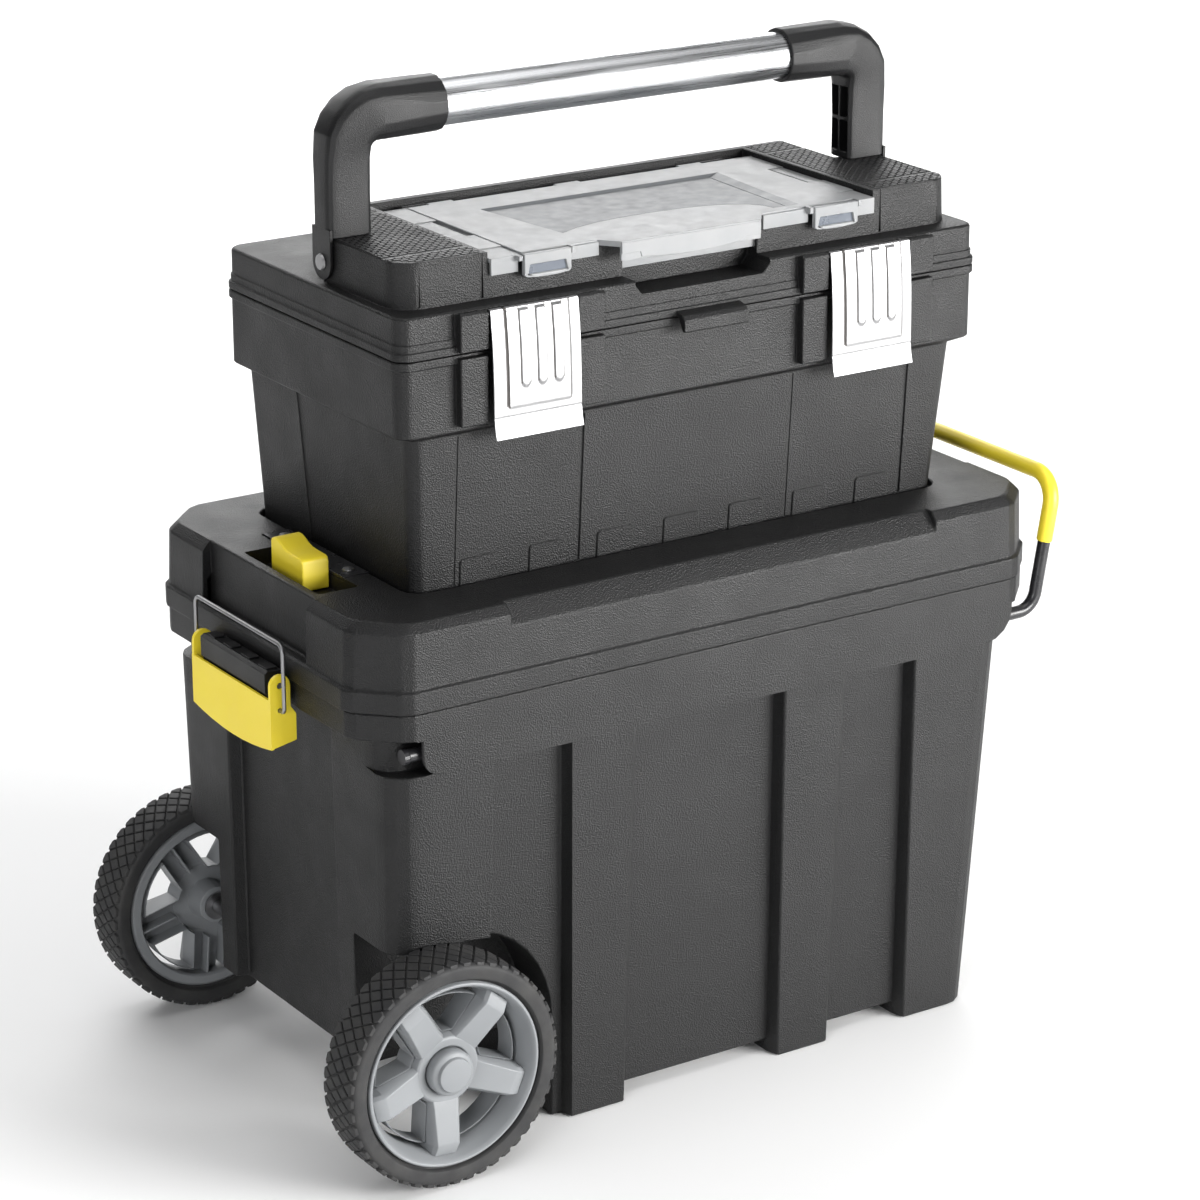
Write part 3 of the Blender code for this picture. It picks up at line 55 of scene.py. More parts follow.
def make_camera():
    """A long lens that looks from the front left and slightly from above."""
    camera = bpy.data.objects.new("camera", bpy.data.cameras.new("camera"))
    bpy.context.scene.collection.objects.link(camera)
    camera.data.sensor_width = 36.0
    camera.data.lens = 117.116
    azimuth, elevation, distance = math.radians(-33.3615), math.radians(19.401), 2.59608
    target = Vector((-0.138368, -0.226302, 0.420881))
    back = Vector(
        (
            math.sin(azimuth) * math.cos(elevation),
            -math.cos(azimuth) * math.cos(elevation),
            math.sin(elevation),
        )
    )
    camera.location = target + back * distance
    camera.rotation_mode = "QUATERNION"
    camera.rotation_quaternion = (-back).to_track_quat("-Z", "Y")
    camera.data.clip_start = 0.05
    camera.data.clip_end = 60
    bpy.context.scene.camera = camera


def area_light(name, place, aim, size, power, tint=(1, 1, 1)):
    """A soft box at a place, turned towards a point."""
    light = bpy.data.lights.new(name, "AREA")
    light.shape = "RECTANGLE"
    light.size, light.size_y = size
    light.energy = power
    light.color = tint
    lamp = bpy.data.objects.new(name, light)
    bpy.context.scene.collection.objects.link(lamp)
    lamp.location = place
    lamp.rotation_mode = "QUATERNION"
    lamp.rotation_quaternion = (Vector(aim) - Vector(place)).to_track_quat("-Z", "Y")


def make_stage():
    """Soft studio light and a pale floor."""
    world = bpy.data.worlds.new("studio")
    bpy.context.scene.world = world
    world.use_nodes = True
    background = world.node_tree.nodes["Background"]
    background.inputs["Color"].default_value = (0.97, 0.98, 1.0, 1.0)
    background.inputs["Strength"].default_value = BACKGROUND_STRENGTH
    area_light("key", (1.9, -2.9, 0.95), (0.05, -0.1, 0.30), (2.2, 1.3), 222, (1.0, 0.995, 0.985))
    area_light("rear", (1.7, 2.7, 1.4), (0, 0, 0.4), (3.6, 1.5), 36)
    area_light("side", (-2.8, -1.9, 1.2), (-0.1, 0, 0.3), (1.4, 1.4), 40, (0.985, 0.99, 1.0))
    area_light("top", (0.2, -0.2, 3.4), (0, 0, 0.3), (3.4, 3.0), 19)
    area_light("backdrop", (1.6, 5.0, 3.0), (1.6, 5.2, 0.0), (6.5, 3.0), 330)
    sky = bpy.data.lights.new("sky", "SUN")
    sky.energy = 0.9
    sky.angle = math.radians(60)
    bpy.context.scene.collection.objects.link(bpy.data.objects.new("sky", sky))
    bm = bmesh.new()
    bmesh.ops.create_grid(bm, x_segments=8, y_segments=8, size=14)
    mesh = bpy.data.meshes.new("floor")
    bm.to_mesh(mesh)
    bm.free()
    floor = bpy.data.objects.new("floor", mesh)
    bpy.context.scene.collection.objects.link(floor)
    floor.location.z = FLOOR_Z
    mat = bpy.data.materials.new("floor_paper")
    mat.use_nodes = True
    shader = mat.node_tree.nodes["Principled BSDF"]
    shader.inputs["Base Color"].default_value = (0.94, 0.94, 0.94, 1)
    shader.inputs["Roughness"].default_value = 0.9
    mesh.materials.append(mat)


make_camera()
make_stage()
bpy.context.scene.view_settings.view_transform = "Standard"


# ---------------------------------------------------------------- materials

class Surface:
    """A Principled material with short ways to add procedural detail in the object's own coordinates."""

    def __init__(self, name, colour, roughness, metallic=0.0):
        self.mat = bpy.data.materials.new(name)
        self.mat.use_nodes = True
        self.tree = self.mat.node_tree
        self.shader = self.tree.nodes["Principled BSDF"]
        self.shader.inputs["Base Color"].default_value = (*colour, 1)
        self.shader.inputs["Roughness"].default_value = roughness
        self.shader.inputs["Metallic"].default_value = metallic
        self.colour = colour
        self.roughness = roughness
        self.place = self.tree.nodes.new("ShaderNodeTexCoord").outputs["Object"]
        self.last_bump = None

    def value(self, socket, value):
        self.shader.inputs[socket].default_value = value

    def node(self, kind, **settings):
        made = self.tree.nodes.new(kind)
        for key, value in settings.items():
            setattr(made, key, value)
        return made

    def link(self, output, target):
        self.tree.links.new(output, target)

    def stretched(self, scale):
        mapping = self.node("ShaderNodeMapping")
        self.link(self.place, mapping.inputs["Vector"])
        mapping.inputs["Scale"].default_value = scale
        return mapping.outputs["Vector"]

    def noise(self, scale, detail=2.0, rough=0.5, stretch=None):
        made = self.node("ShaderNodeTexNoise")
        source = self.stretched(stretch) if stretch else self.place
        self.link(source, made.inputs["Vector"])
        made.inputs["Scale"].default_value = scale
        made.inputs["Detail"].default_value = detail
        made.inputs["Roughness"].default_value = rough
        return made.outputs["Fac"]

    def cells(self, scale, feature="F1"):
        made = self.node("ShaderNodeTexVoronoi", feature=feature)
        self.link(self.place, made.inputs["Vector"])
        made.inputs["Scale"].default_value = scale
        return made.outputs["Distance"]

    def mapped(self, source, low, high, to_low, to_high):
        made = self.node("ShaderNodeMapRange")
        self.link(source, made.inputs["Value"])
        for key, value in zip(("From Min", "From Max", "To Min", "To Max"), (low, high, to_low, to_high)):
            made.inputs[key].default_value = value
        return made.outputs["Result"]

    def maths(self, operation, first, second):
        made = self.node("ShaderNodeMath", operation=operation)
        for socket, value in zip(made.inputs, (first, second)):
            if isinstance(value, (int, float)):
                socket.default_value = value
            else:
                self.link(value, socket)
        return made.outputs["Value"]

    def bump(self, height, strength, distance):
        made = self.node("ShaderNodeBump")
        made.inputs["Strength"].default_value = strength
        made.inputs["Distance"].default_value = distance
        self.link(height, made.inputs["Height"])
        if self.last_bump:
            self.link(self.last_bump, made.inputs["Normal"])
        self.last_bump = made.outputs["Normal"]
        self.link(self.last_bump, self.shader.inputs["Normal"])

    def vary_colour(self, factor, other):
        """Blends the base colour towards another one where factor is high."""
        made = self.node("ShaderNodeMix", data_type="RGBA")
        self.link(factor, made.inputs["Factor"])
        made.inputs["A"].default_value = (*self.colour, 1)
        made.inputs["B"].default_value = (*other, 1)
        self.link(made.outputs["Result"], self.shader.inputs["Base Color"])

    def vary_roughness(self, factor, low, high):
        result = self.mapped(factor, 0.25, 0.75, low, high)
        self.link(result, self.shader.inputs["Roughness"])


def grained_plastic(name, colour, lighter, rough, grain, depth):
    """Moulded plastic with a fine pebble grain, soft blotches and a few lighter scuffs."""
    s = Surface(name, colour, rough)
    s.value("Specular IOR Level", 0.38)
    blotch = s.noise(9.0, 3.0)
    speck = s.noise(grain * 0.55, 1.0)
    mixed = s.maths("MULTIPLY", blotch, speck)
    s.vary_colour(s.mapped(mixed, 0.12, 0.42, 0.0, 1.0), lighter)
    s.vary_roughness(s.noise(34.0, 4.0), rough - 0.05, rough + 0.07)
    pebbles = s.cells(grain)
    s.bump(pebbles, 0.5, depth)
    s.bump(s.noise(grain * 1.9, 2.0), 0.3, depth * 0.6)
    return s.mat


def smooth_plastic(name, colour, other, rough, coat=0.0):
    s = Surface(name, colour, rough)
    s.value("Coat Weight", coat)
    s.value("Coat Roughness", 0.18)
    s.vary_colour(s.mapped(s.noise(14.0, 3.0), 0.35, 0.75, 0.0, 0.7), other)
    s.vary_roughness(s.noise(60.0, 4.0), rough - 0.06, rough + 0.08)
    s.bump(s.noise(620.0, 2.0), 0.10, 0.0002)
    return s.mat


def drawn_metal(name, colour, rough, stretch, lines, strength):
    """Metal with fine lines along one axis, where stretch is small."""
    s = Surface(name, colour, rough, 1.0)
    fine = s.noise(lines, 3.0, 0.6, stretch)
    broad = s.noise(lines * 0.12, 2.0, 0.5, stretch)
    s.vary_colour(s.mapped(broad, 0.3, 0.7, 0.0, 0.5), tuple(c * 0.78 for c in colour))
    s.vary_roughness(fine, rough - 0.08, rough + 0.14)
    s.bump(fine, strength, 0.0002)
    return s.mat


black = grained_plastic(
    "black_plastic_grain", (0.0050, 0.0050, 0.0053), (0.0085, 0.0085, 0.0088), 0.45, 950.0, 0.0007
)
satin_black = grained_plastic(
    "handle_plastic_grain", (0.0055, 0.0055, 0.0060), (0.0090, 0.0090, 0.0095), 0.42, 1500.0, 0.0003
)
yellow = smooth_plastic("yellow_plastic_satin", (1.0, 0.80, 0.045), (0.97, 0.75, 0.035), 0.40)
grey = smooth_plastic("grey_plastic_satin", (0.24, 0.25, 0.26), (0.20, 0.21, 0.22), 0.46)
steel = drawn_metal("steel_drawn", (0.34, 0.34, 0.35), 0.36, (1, 1, 1), 500.0, 0.15)
bright_steel = drawn_metal("bright_steel_pressed", (0.36, 0.36, 0.365), 0.40, (1.0, 1.0, 0.05), 260.0, 0.02)
# The thin dark lines on the pressed steel latches are painted shade along the flute outlines, folds and panel
# foot.
crease_shade_paint = smooth_plastic("bright_steel_painted_crease_shade", (0.12, 0.11, 0.105), (0.08, 0.075, 0.07), 0.55)
aluminium = drawn_metal("aluminium_brushed", (0.80, 0.81, 0.83), 0.27, (0.02, 1.0, 1.0), 900.0, 0.22)


def make_rubber():
    """Matt black rubber, dusty in places."""
    s = Surface("tyre_rubber_matt", (0.023, 0.023, 0.024), 0.72)
    s.vary_colour(s.mapped(s.noise(40.0, 4.0), 0.4, 0.8, 0.0, 0.8), (0.045, 0.044, 0.042))
    s.vary_roughness(s.noise(90.0, 3.0), 0.62, 0.84)
    s.bump(s.noise(900.0, 3.0), 0.3, 0.0003)
    return s.mat


def make_rod_paint():
    """The half-gloss black paint on the pull handle's rod."""
    s = Surface("black_rod_paint", (0.016, 0.016, 0.018), 0.28)
    s.vary_colour(s.mapped(s.noise(60.0, 3.0), 0.45, 0.8, 0.0, 0.6), (0.03, 0.03, 0.032))
    s.vary_roughness(s.noise(150.0, 3.0), 0.22, 0.38)
    s.bump(s.noise(500.0, 2.0), 0.12, 0.0002)
    return s.mat


def make_clear(name, colour, other, through, rough):
    """Frosted plastic that lets some light through."""
    s = Surface(name, colour, rough)
    s.value("Transmission Weight", through)
    s.value("IOR", 1.38)
    s.value("Specular IOR Level", 0.35)
    s.vary_colour(s.mapped(s.noise(26.0, 3.0), 0.35, 0.75, 0.0, 1.0), other)
    s.vary_roughness(s.noise(120.0, 3.0), rough - 0.06, rough + 0.10)
    s.bump(s.noise(60.0, 2.0), 0.05, 0.0003)
    return s.mat


rubber = make_rubber()
rod_paint = make_rod_paint()
clear = make_clear("clear_plastic_frosted", (0.40, 0.405, 0.41), (0.35, 0.36, 0.37), 0.30, 0.38)
# Darker frosted plastic for the organizer lid's sunken panel: painted shade on its floor and sloped wall.
panel_shade_paint = make_clear("clear_sunken_panel_painted_shade", (0.20, 0.21, 0.22), (0.17, 0.18, 0.19), 0.25, 0.40)
clear_thin = make_clear("clear_plastic_thin", (0.16, 0.18, 0.22), (0.13, 0.15, 0.18), 0.30, 0.30)
# Thin dark strips along the organizer lid's step edges: painted shade lines.
strip_shade_paint = make_clear("clear_plastic_painted_shade_strips", (0.20, 0.21, 0.22), (0.27, 0.28, 0.29), 0.10, 0.45)

BY_SLOT = {
    "black_plastic": black,
    "handle_plastic": satin_black,
    "yellow_plastic": yellow,
    "grey_plastic": grey,
    "tyre_rubber": rubber,
    "steel": steel,
    "bright_steel": bright_steel,
    "aluminium": aluminium,
    "black_rod": rod_paint,
    "clear_plastic": clear,
}
SLOT_OF = {part["node"]: part["material_slot"] for part in frame["record"]["subparts"]}
BODY_OF = {
    node: body for body, members in frame["record"]["behaviour"]["bodies"].items() for node in members
}


# ---------------------------------------------------------------- pieces

BEVEL_SHARE = 0.42


def finish_mesh(name, bm, mat, sharp=30.0):
    """Turns a bmesh into an object that is smooth up to an edge angle in degrees."""
    bmesh.ops.recalc_face_normals(bm, faces=bm.faces)
    mesh = bpy.data.meshes.new(name)
    bm.to_mesh(mesh)
    bm.free()
    mesh.materials.append(mat)
    mesh.shade_smooth()
    mesh.set_sharp_from_angle(angle=math.radians(sharp))
    obj = bpy.data.objects.new(name, mesh)
    bpy.context.scene.collection.objects.link(obj)
    return obj


def add_piece(obj, body, slot_name, *replaced):
    """Tells the frame which body a piece rides on and hides the nodes that it stands for; slot_name is not
    used.
    """
    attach(obj, body)
    if replaced:
        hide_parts(*replaced)
    return obj


def bevel(obj, width, segments=2, angle=28.0):
    """Rounds every edge sharper than an angle."""
    modifier = obj.modifiers.new("edges", "BEVEL")
    modifier.width = width
    modifier.segments = segments
    modifier.limit_method = "ANGLE"
    modifier.angle_limit = math.radians(angle)
    modifier.use_clamp_overlap = False
    modifier.miter_outer = "MITER_ARC"
    modifier.harden_normals = True
    return obj


def weigh_edges(mesh, width, angle):
    """Gives each sharp edge a bevel weight that leaves room on the faces beside it."""
    bm = bmesh.new()
    bm.from_mesh(mesh)
    layer = bm.edges.layers.float.get("bevel_weight_edge") or bm.edges.layers.float.new("bevel_weight_edge")
    limit = math.radians(angle)
    sharp = {e for e in bm.edges if len(e.link_faces) == 2 and e.calc_face_angle(0.0) >= limit}
    for edge in bm.edges:
        edge[layer] = 0.0
    for edge in sharp:
        room = edge.calc_length()
        for loop in edge.link_loops:
            following = loop.link_loop_next
            for corner, beside in ((loop, loop.link_loop_prev.edge), (following, following.edge)):
                opening = corner.calc_angle()
                if opening < math.pi / 2:
                    share = math.tan(opening / 2)
                else:
                    share = 1.0 if beside in sharp else max(math.sin(opening), 0.05)
                room = min(room, beside.calc_length() * share)
        edge[layer] = min(1.0, BEVEL_SHARE * room / width)
    bm.to_mesh(mesh)
    bm.free()


def soften(obj, width, segments=2, angle=20.0):
    """Rounds the sharp edges of a piece and keeps its flat faces flat."""
    weigh_edges(obj.data, width, angle)
    modifier = obj.modifiers.new("edges", "BEVEL")
    modifier.width = width
    modifier.segments = segments
    modifier.limit_method = "WEIGHT"
    modifier.use_clamp_overlap = False
    modifier.miter_outer = "MITER_ARC"
    normals = obj.modifiers.new("flat_faces", "WEIGHTED_NORMAL")
    normals.keep_sharp = True
    normals.weight = 60
    return obj


def settle(bm, merge=1e-5):
    """Welds a mesh, joins its flat faces and splits the large ones again in a clean way."""
    bmesh.ops.remove_doubles(bm, verts=bm.verts, dist=merge)
    bmesh.ops.dissolve_limit(bm, angle_limit=math.radians(0.05), verts=bm.verts, edges=bm.edges)
    bmesh.ops.triangulate(bm, faces=[f for f in bm.faces if len(f.verts) > 4], ngon_method="BEAUTY")


def plain_copy(node, join=True):
    """A welded mesh with the node's shape."""
    bm = bmesh.new()
    bm.from_mesh(nodes[node].data)
    if join:
        settle(bm)
    else:
        bmesh.ops.remove_doubles(bm, verts=bm.verts, dist=1e-5)
    slot_name = SLOT_OF[node]
    obj = finish_mesh(f"{node}_body", bm, BY_SLOT[slot_name], 40)
    return add_piece(obj, BODY_OF[node], slot_name, node)


for node_name, node_object in nodes.items():
    node_object.data.materials.clear()
    node_object.data.materials.append(BY_SLOT[SLOT_OF[node_name]])


# ---------------------------------------------------------------- mesh helpers

def loft_rings(bm, rings, caps=True, closed=False):
    """Quads between rings of points. closed joins the last ring to the first."""
    made = [[bm.verts.new(p) for p in ring] for ring in rings]
    pairs = list(zip(made, made[1:]))
    if closed:
        pairs.append((made[-1], made[0]))
    for first, second in pairs:
        for k in range(len(first)):
            n = (k + 1) % len(first)
            bm.faces.new((first[k], first[n], second[n], second[k]))
    if caps and not closed:
        bm.faces.new(made[0][::-1])
        bm.faces.new(made[-1])


AXES = {"X": (1, 2, 0), "Y": (0, 2, 1), "Z": (0, 1, 2)}


def on_axis(axis, u, v, w):
    """A point from its two outline coordinates u and v and its place w along the axis."""
    point = [0.0, 0.0, 0.0]
    iu, iv, iw = AXES[axis]
    point[iu], point[iv], point[iw] = u, v, w
    return Vector(point)


def prism(bm, outline, axis, low, high):
    """An outline drawn out along an axis between two places."""
    rings = [[on_axis(axis, u, v, w) for u, v in outline] for w in (low, high)]
    loft_rings(bm, rings)


def slab(bm, low, high):
    """A box between two corners."""
    outline = [(low[0], low[1]), (high[0], low[1]), (high[0], high[1]), (low[0], high[1])]
    prism(bm, outline, "Z", low[2], high[2])


def turn_y(bm, profile, centre, side, segments):
    """Turns a closed profile of (radius, depth) about an axis along Y; depth runs inwards from WHEEL_FACE."""
    rings = []
    for k in range(segments):
        angle = 2 * math.pi * k / segments
        rings.append(
            [
                Vector(
                    (
                        centre[0] + r * math.cos(angle),
                        side * (WHEEL_FACE - depth),
                        centre[1] + r * math.sin(angle),
                    )
                )
                for r, depth in profile
            ]
        )
    loft_rings(bm, rings, closed=True)
    bmesh.ops.remove_doubles(bm, verts=bm.verts, dist=1e-7)


def sweep(bm, path, radius, sides=24):
    """A round rod along a smooth path."""
    rings = []
    normal = None
    for i, point in enumerate(path):
        tangent = (path[min(i + 1, len(path) - 1)] - path[max(i - 1, 0)]).normalized()
        if normal is None:
            normal = tangent.orthogonal().normalized()
        normal = (normal - tangent * normal.dot(tangent)).normalized()
        second = tangent.cross(normal)
        size = radius(i) if callable(radius) else radius
        ring = []
        for k in range(sides):
            angle = 2 * math.pi * k / sides
            ring.append(point + size * (normal * math.cos(angle) + second * math.sin(angle)))
        rings.append(ring)
    loft_rings(bm, rings)


def arc_corner(corner, before, after, radius, steps=10):
    """Points of the arc that rounds the corner between two straight runs."""
    corner, before, after = Vector(corner), Vector(before), Vector(after)
    into, out = (before - corner).normalized(), (after - corner).normalized()
    half = into.angle(out) / 2
    reach = radius / math.tan(half)
    centre = corner + (into + out).normalized() * radius / math.sin(half)
    start, end = corner + into * reach - centre, corner + out * reach - centre
    turn = start.angle(end)
    points = []
    for step in range(steps + 1):
        share = step / steps
        mixed = start * math.sin((1 - share) * turn) + end * math.sin(share * turn)
        points.append(centre + mixed / math.sin(turn))
    return points


def boolean(obj, bm, operation):
    """Applies one solid to a piece's mesh. The piece has no modifiers yet."""
    mesh = bpy.data.meshes.new("tool")
    bmesh.ops.recalc_face_normals(bm, faces=bm.faces)
    bm.to_mesh(mesh)
    bm.free()
    tool = bpy.data.objects.new("tool", mesh)
    bpy.context.scene.collection.objects.link(tool)
    modifier = obj.modifiers.new("tool", "BOOLEAN")
    modifier.operation = operation
    modifier.object = tool
    modifier.solver = "EXACT"
    result = bpy.data.meshes.new_from_object(obj.evaluated_get(bpy.context.evaluated_depsgraph_get()))
    obj.modifiers.remove(modifier)
    bpy.data.objects.remove(tool)
    bm = bmesh.new()
    bm.from_mesh(result)
    settle(bm, 1e-6)
    for face in bm.faces:
        face.material_index = 0
    bm.to_mesh(result)
    bm.free()
    surface = obj.data.materials[0]
    result.materials.clear()
    result.materials.append(surface)
    result.shade_smooth()
    result.set_sharp_from_angle(angle=math.radians(40))
    obj.data = result


def slab_boolean(obj, low, high, operation):
    """Adds a box to a piece or cuts it out."""
    bm = bmesh.new()
    slab(bm, low, high)
    boolean(obj, bm, operation)


def surface_tree(node):
    """A search tree over a node's mesh, for finding its surface."""
    bm = bmesh.new()
    bm.from_mesh(nodes[node].data)
    tree = BVHTree.FromBMesh(bm)
    bm.free()
    return tree


# ---------------------------------------------------------------- wheels

WHEEL_FACE = 0.196
WHEEL_CENTRE = (-0.2363, 0.084)
TREAD_R = 0.084
TYRE_WIDTH = 0.040
SPOKES = 5
SPOKE_TURN = -22.5


def tread_blocks(bm, side):
    """Staggered diamond blocks round the tyre, cut off at both shoulders."""
    per_row, half_c, half_y, limit = 48, 0.0046, 0.0067, 0.0187
    for row in range(5):
        middle = (row - 2) * 0.008
        for k in range(per_row):
            around = 2 * math.pi * (k + 0.5 * (row % 2)) / per_row
            outline = []
            for u, v in ((half_c, 0.0), (0.0, half_y), (-half_c, 0.0), (0.0, -half_y)):
                y = middle + v
                if abs(y) <= limit:
                    outline.append((u, y))
                    continue
                edge = math.copysign(limit, y)
                spare = half_c * (1 - abs(edge - middle) / half_y)
                first = spare if v > 0 else -spare
                outline += [(first, edge), (-first, edge)]
            rings = []
            for inset, top in ((1.0, False), (1.0, None), (0.88, True)):
                ring = []
                for u, y in outline:
                    drop = max(0.0, abs(y) - 0.015) * 0.28
                    crown = TREAD_R - drop
                    r = crown - 0.0024 if top is False else crown - 0.0005 if top is None else crown
                    u_in, y_in = u * inset, middle + (y - middle) * inset
                    angle = around + u_in / TREAD_R
                    ring.append(
                        Vector(
                            (
                                WHEEL_CENTRE[0] + r * math.cos(angle),
                                side * (WHEEL_FACE - TYRE_WIDTH / 2 + y_in),
                                WHEEL_CENTRE[1] + r * math.sin(angle),
                            )
                        )
                    )
                rings.append(ring)
            loft_rings(bm, rings)


def make_tyre(side, name):
    """A rubber ring with rounded shoulders, and the tread blocks on it."""
    bm = bmesh.new()
    half = [
        (0.0683, 0.0050),
        (0.0699, 0.0044),
        (0.0704, 0.0016),
        (0.0712, 0.0006),
        (0.0724, 0.0003),
        (0.0780, 0.0002),
        (0.0796, 0.0005),
        (0.0808, 0.0014),
        (0.0817, 0.0030),
        (0.0821, 0.0060),
        (0.0822, 0.0120),
    ]
    profile = half + [(r, TYRE_WIDTH - depth) for r, depth in reversed(half)]
    turn_y(bm, profile, WHEEL_CENTRE, side, 120)
    tread_blocks(bm, side)
    tyre = finish_mesh(f"tyre_{name}_tread", bm, rubber, 35)
    add_piece(tyre, f"wheel_{name}", "tyre_rubber", f"tyre_{name}")


def wheel_point(side, r, across, depth, heading):
    """A point at radius r along a spoke's heading, moved across it, at a depth from the wheel's face."""
    c, s = math.cos(heading), math.sin(heading)
    return Vector(
        (
            WHEEL_CENTRE[0] + r * c - across * s,
            side * (WHEEL_FACE - depth),
            WHEEL_CENTRE[1] + r * s + across * c,
        )
    )


def make_hub(side, name):
    """Rim ring with a deep barrel, faceted spokes, the middle disc and a frame round each window."""
    bm = bmesh.new()
    ring = [
        (0.0681, 0.0026),
        (0.0676, 0.0016),
        (0.0662, 0.0014),
        (0.0652, 0.0024),
        (0.0640, 0.0046),
        (0.0622, 0.0105),
        (0.0600, 0.0150),
        (0.0590, 0.0345),
        (0.0602, 0.0366),
        (0.0660, 0.0366),
        (0.0681, 0.0350),
    ]
    turn_y(bm, ring, WHEEL_CENTRE, side, 120)
    disc = [
        (0.0056, 0.0146),
        (0.0172, 0.0146),
        (0.0172, 0.0128),
        (0.0182, 0.0118),
        (0.0234, 0.0116),
        (0.0248, 0.0124),
        (0.0266, 0.0165),
        (0.0270, 0.0240),
        (0.0150, 0.0250),
        (0.0140, 0.0430),
        (0.0110, 0.0438),
        (0.0056, 0.0438),
    ]
    turn_y(bm, disc, WHEEL_CENTRE, side, 80)
    rib_low, rib_high, rib_half = 0.030, 0.0605, 0.0009
    window_middle = 0.0435
    for index in range(SPOKES):
        heading = math.radians(360 / SPOKES * index + SPOKE_TURN)
        rings = []
        stations = (
            (0.0212, 0.0118, 0.0122),
            (0.0265, 0.0112, 0.0106),
            (0.0520, 0.0102, 0.0048),
            (0.0540, 0.0102, 0.0046),
            (0.0622, 0.0098, 0.0082),
            (0.0628, 0.0098, 0.0140),
        )
        for r, wide, top in stations:
            base = 0.0235
            section = [
                (-wide - 0.0022, base),
                (-wide - 0.0005, top + 0.0030),
                (-wide + 0.0016, top),
                (wide - 0.0016, top),
                (wide + 0.0005, top + 0.0030),
                (wide + 0.0022, base),
            ]
            rings.append([wheel_point(side, r, across, depth, heading) for across, depth in section])
        loft_rings(bm, rings)
        foot = ((rib_low, -rib_half), (rib_low, rib_half), (rib_high, rib_half), (rib_high, -rib_half))
        rib = [[wheel_point(side, r, a, depth, heading) for r, a in foot] for depth in (0.0225, 0.0335)]
        loft_rings(bm, rib)
        window = heading + math.radians(180 / SPOKES)
        loops = []
        for grow, depths in ((1.0, (0.0160, 0.0345)), (0.93, (0.0345, 0.0160))):
            for depth in depths:
                loop = []
                for r, half_angle in ((0.0275, 9.0), (0.0560, 23.5)):
                    steps = range(7) if r < 0.04 else range(6, -1, -1)
                    for step in steps:
                        angle = math.radians(half_angle * (step - 3) / 3)
                        along = r * math.cos(angle)
                        across = r * math.sin(angle)
                        along = window_middle + (along - window_middle) * grow
                        loop.append(wheel_point(side, along, across * grow, depth, window))
                loops.append(loop)
        loft_rings(bm, loops, closed=True)
    hub = finish_mesh(f"hub_{name}_spokes", bm, grey, 30)
    bevel(hub, 0.0006, 2, 30)
    add_piece(hub, f"wheel_{name}", "grey_plastic", f"hub_{name}")


def make_cap(side, name):
    """The stepped cap over the end of the axle."""
    bm = bmesh.new()
    profile = [
        (0.0, 0.0137),
        (0.0164, 0.0137),
        (0.0169, 0.0130),
        (0.0169, 0.0066),
        (0.0165, 0.0052),
        (0.0156, 0.0042),
        (0.0142, 0.0036),
        (0.0131, 0.0031),
        (0.0128, 0.0024),
        (0.0127, 0.0014),
        (0.0122, 0.0007),
        (0.0114, 0.0005),
        (0.0, 0.0005),
    ]
    turn_y(bm, profile, WHEEL_CENTRE, side, 72)
    cap = finish_mesh(f"hub_cap_{name}_steps", bm, grey, 40)
    add_piece(cap, f"wheel_{name}", "grey_plastic", f"hub_cap_{name}")


# ---------------------------------------------------------------- steel latches

SHEET = 0.0009
LATCH_ROLL = 0.0031
LATCH_HALF = 0.0351


def catmull_rom(p, q, r, s, t):
    """The place at share t from q to r on the smooth curve past p, q, r and s."""
    linear = r - p
    square = 2 * p - 5 * q + 4 * r - s
    cube = 3 * q - p - 3 * r + s
    return 0.5 * (2 * q + linear * t + square * t**2 + cube * t**3)


def smooth_path(points, per_span):
    """Catmull-Rom curve through (y, z) points."""
    ends = [points[0]] + list(points) + [points[-1]]
    curve = []
    for a, b, c, d in zip(ends, ends[1:], ends[2:], ends[3:]):
        for step in range(per_span):
            curve.append(tuple(catmull_rom(*four, step / per_span) for four in zip(a, b, c, d)))
    curve.append(points[-1])
    return curve


def ramp(value, edge, soft):
    """1 inside edge, falling to 0 over soft."""
    t = min(max((edge - value) / soft + 0.5, 0.0), 1.0)
    return t * t * (3 - 2 * t)


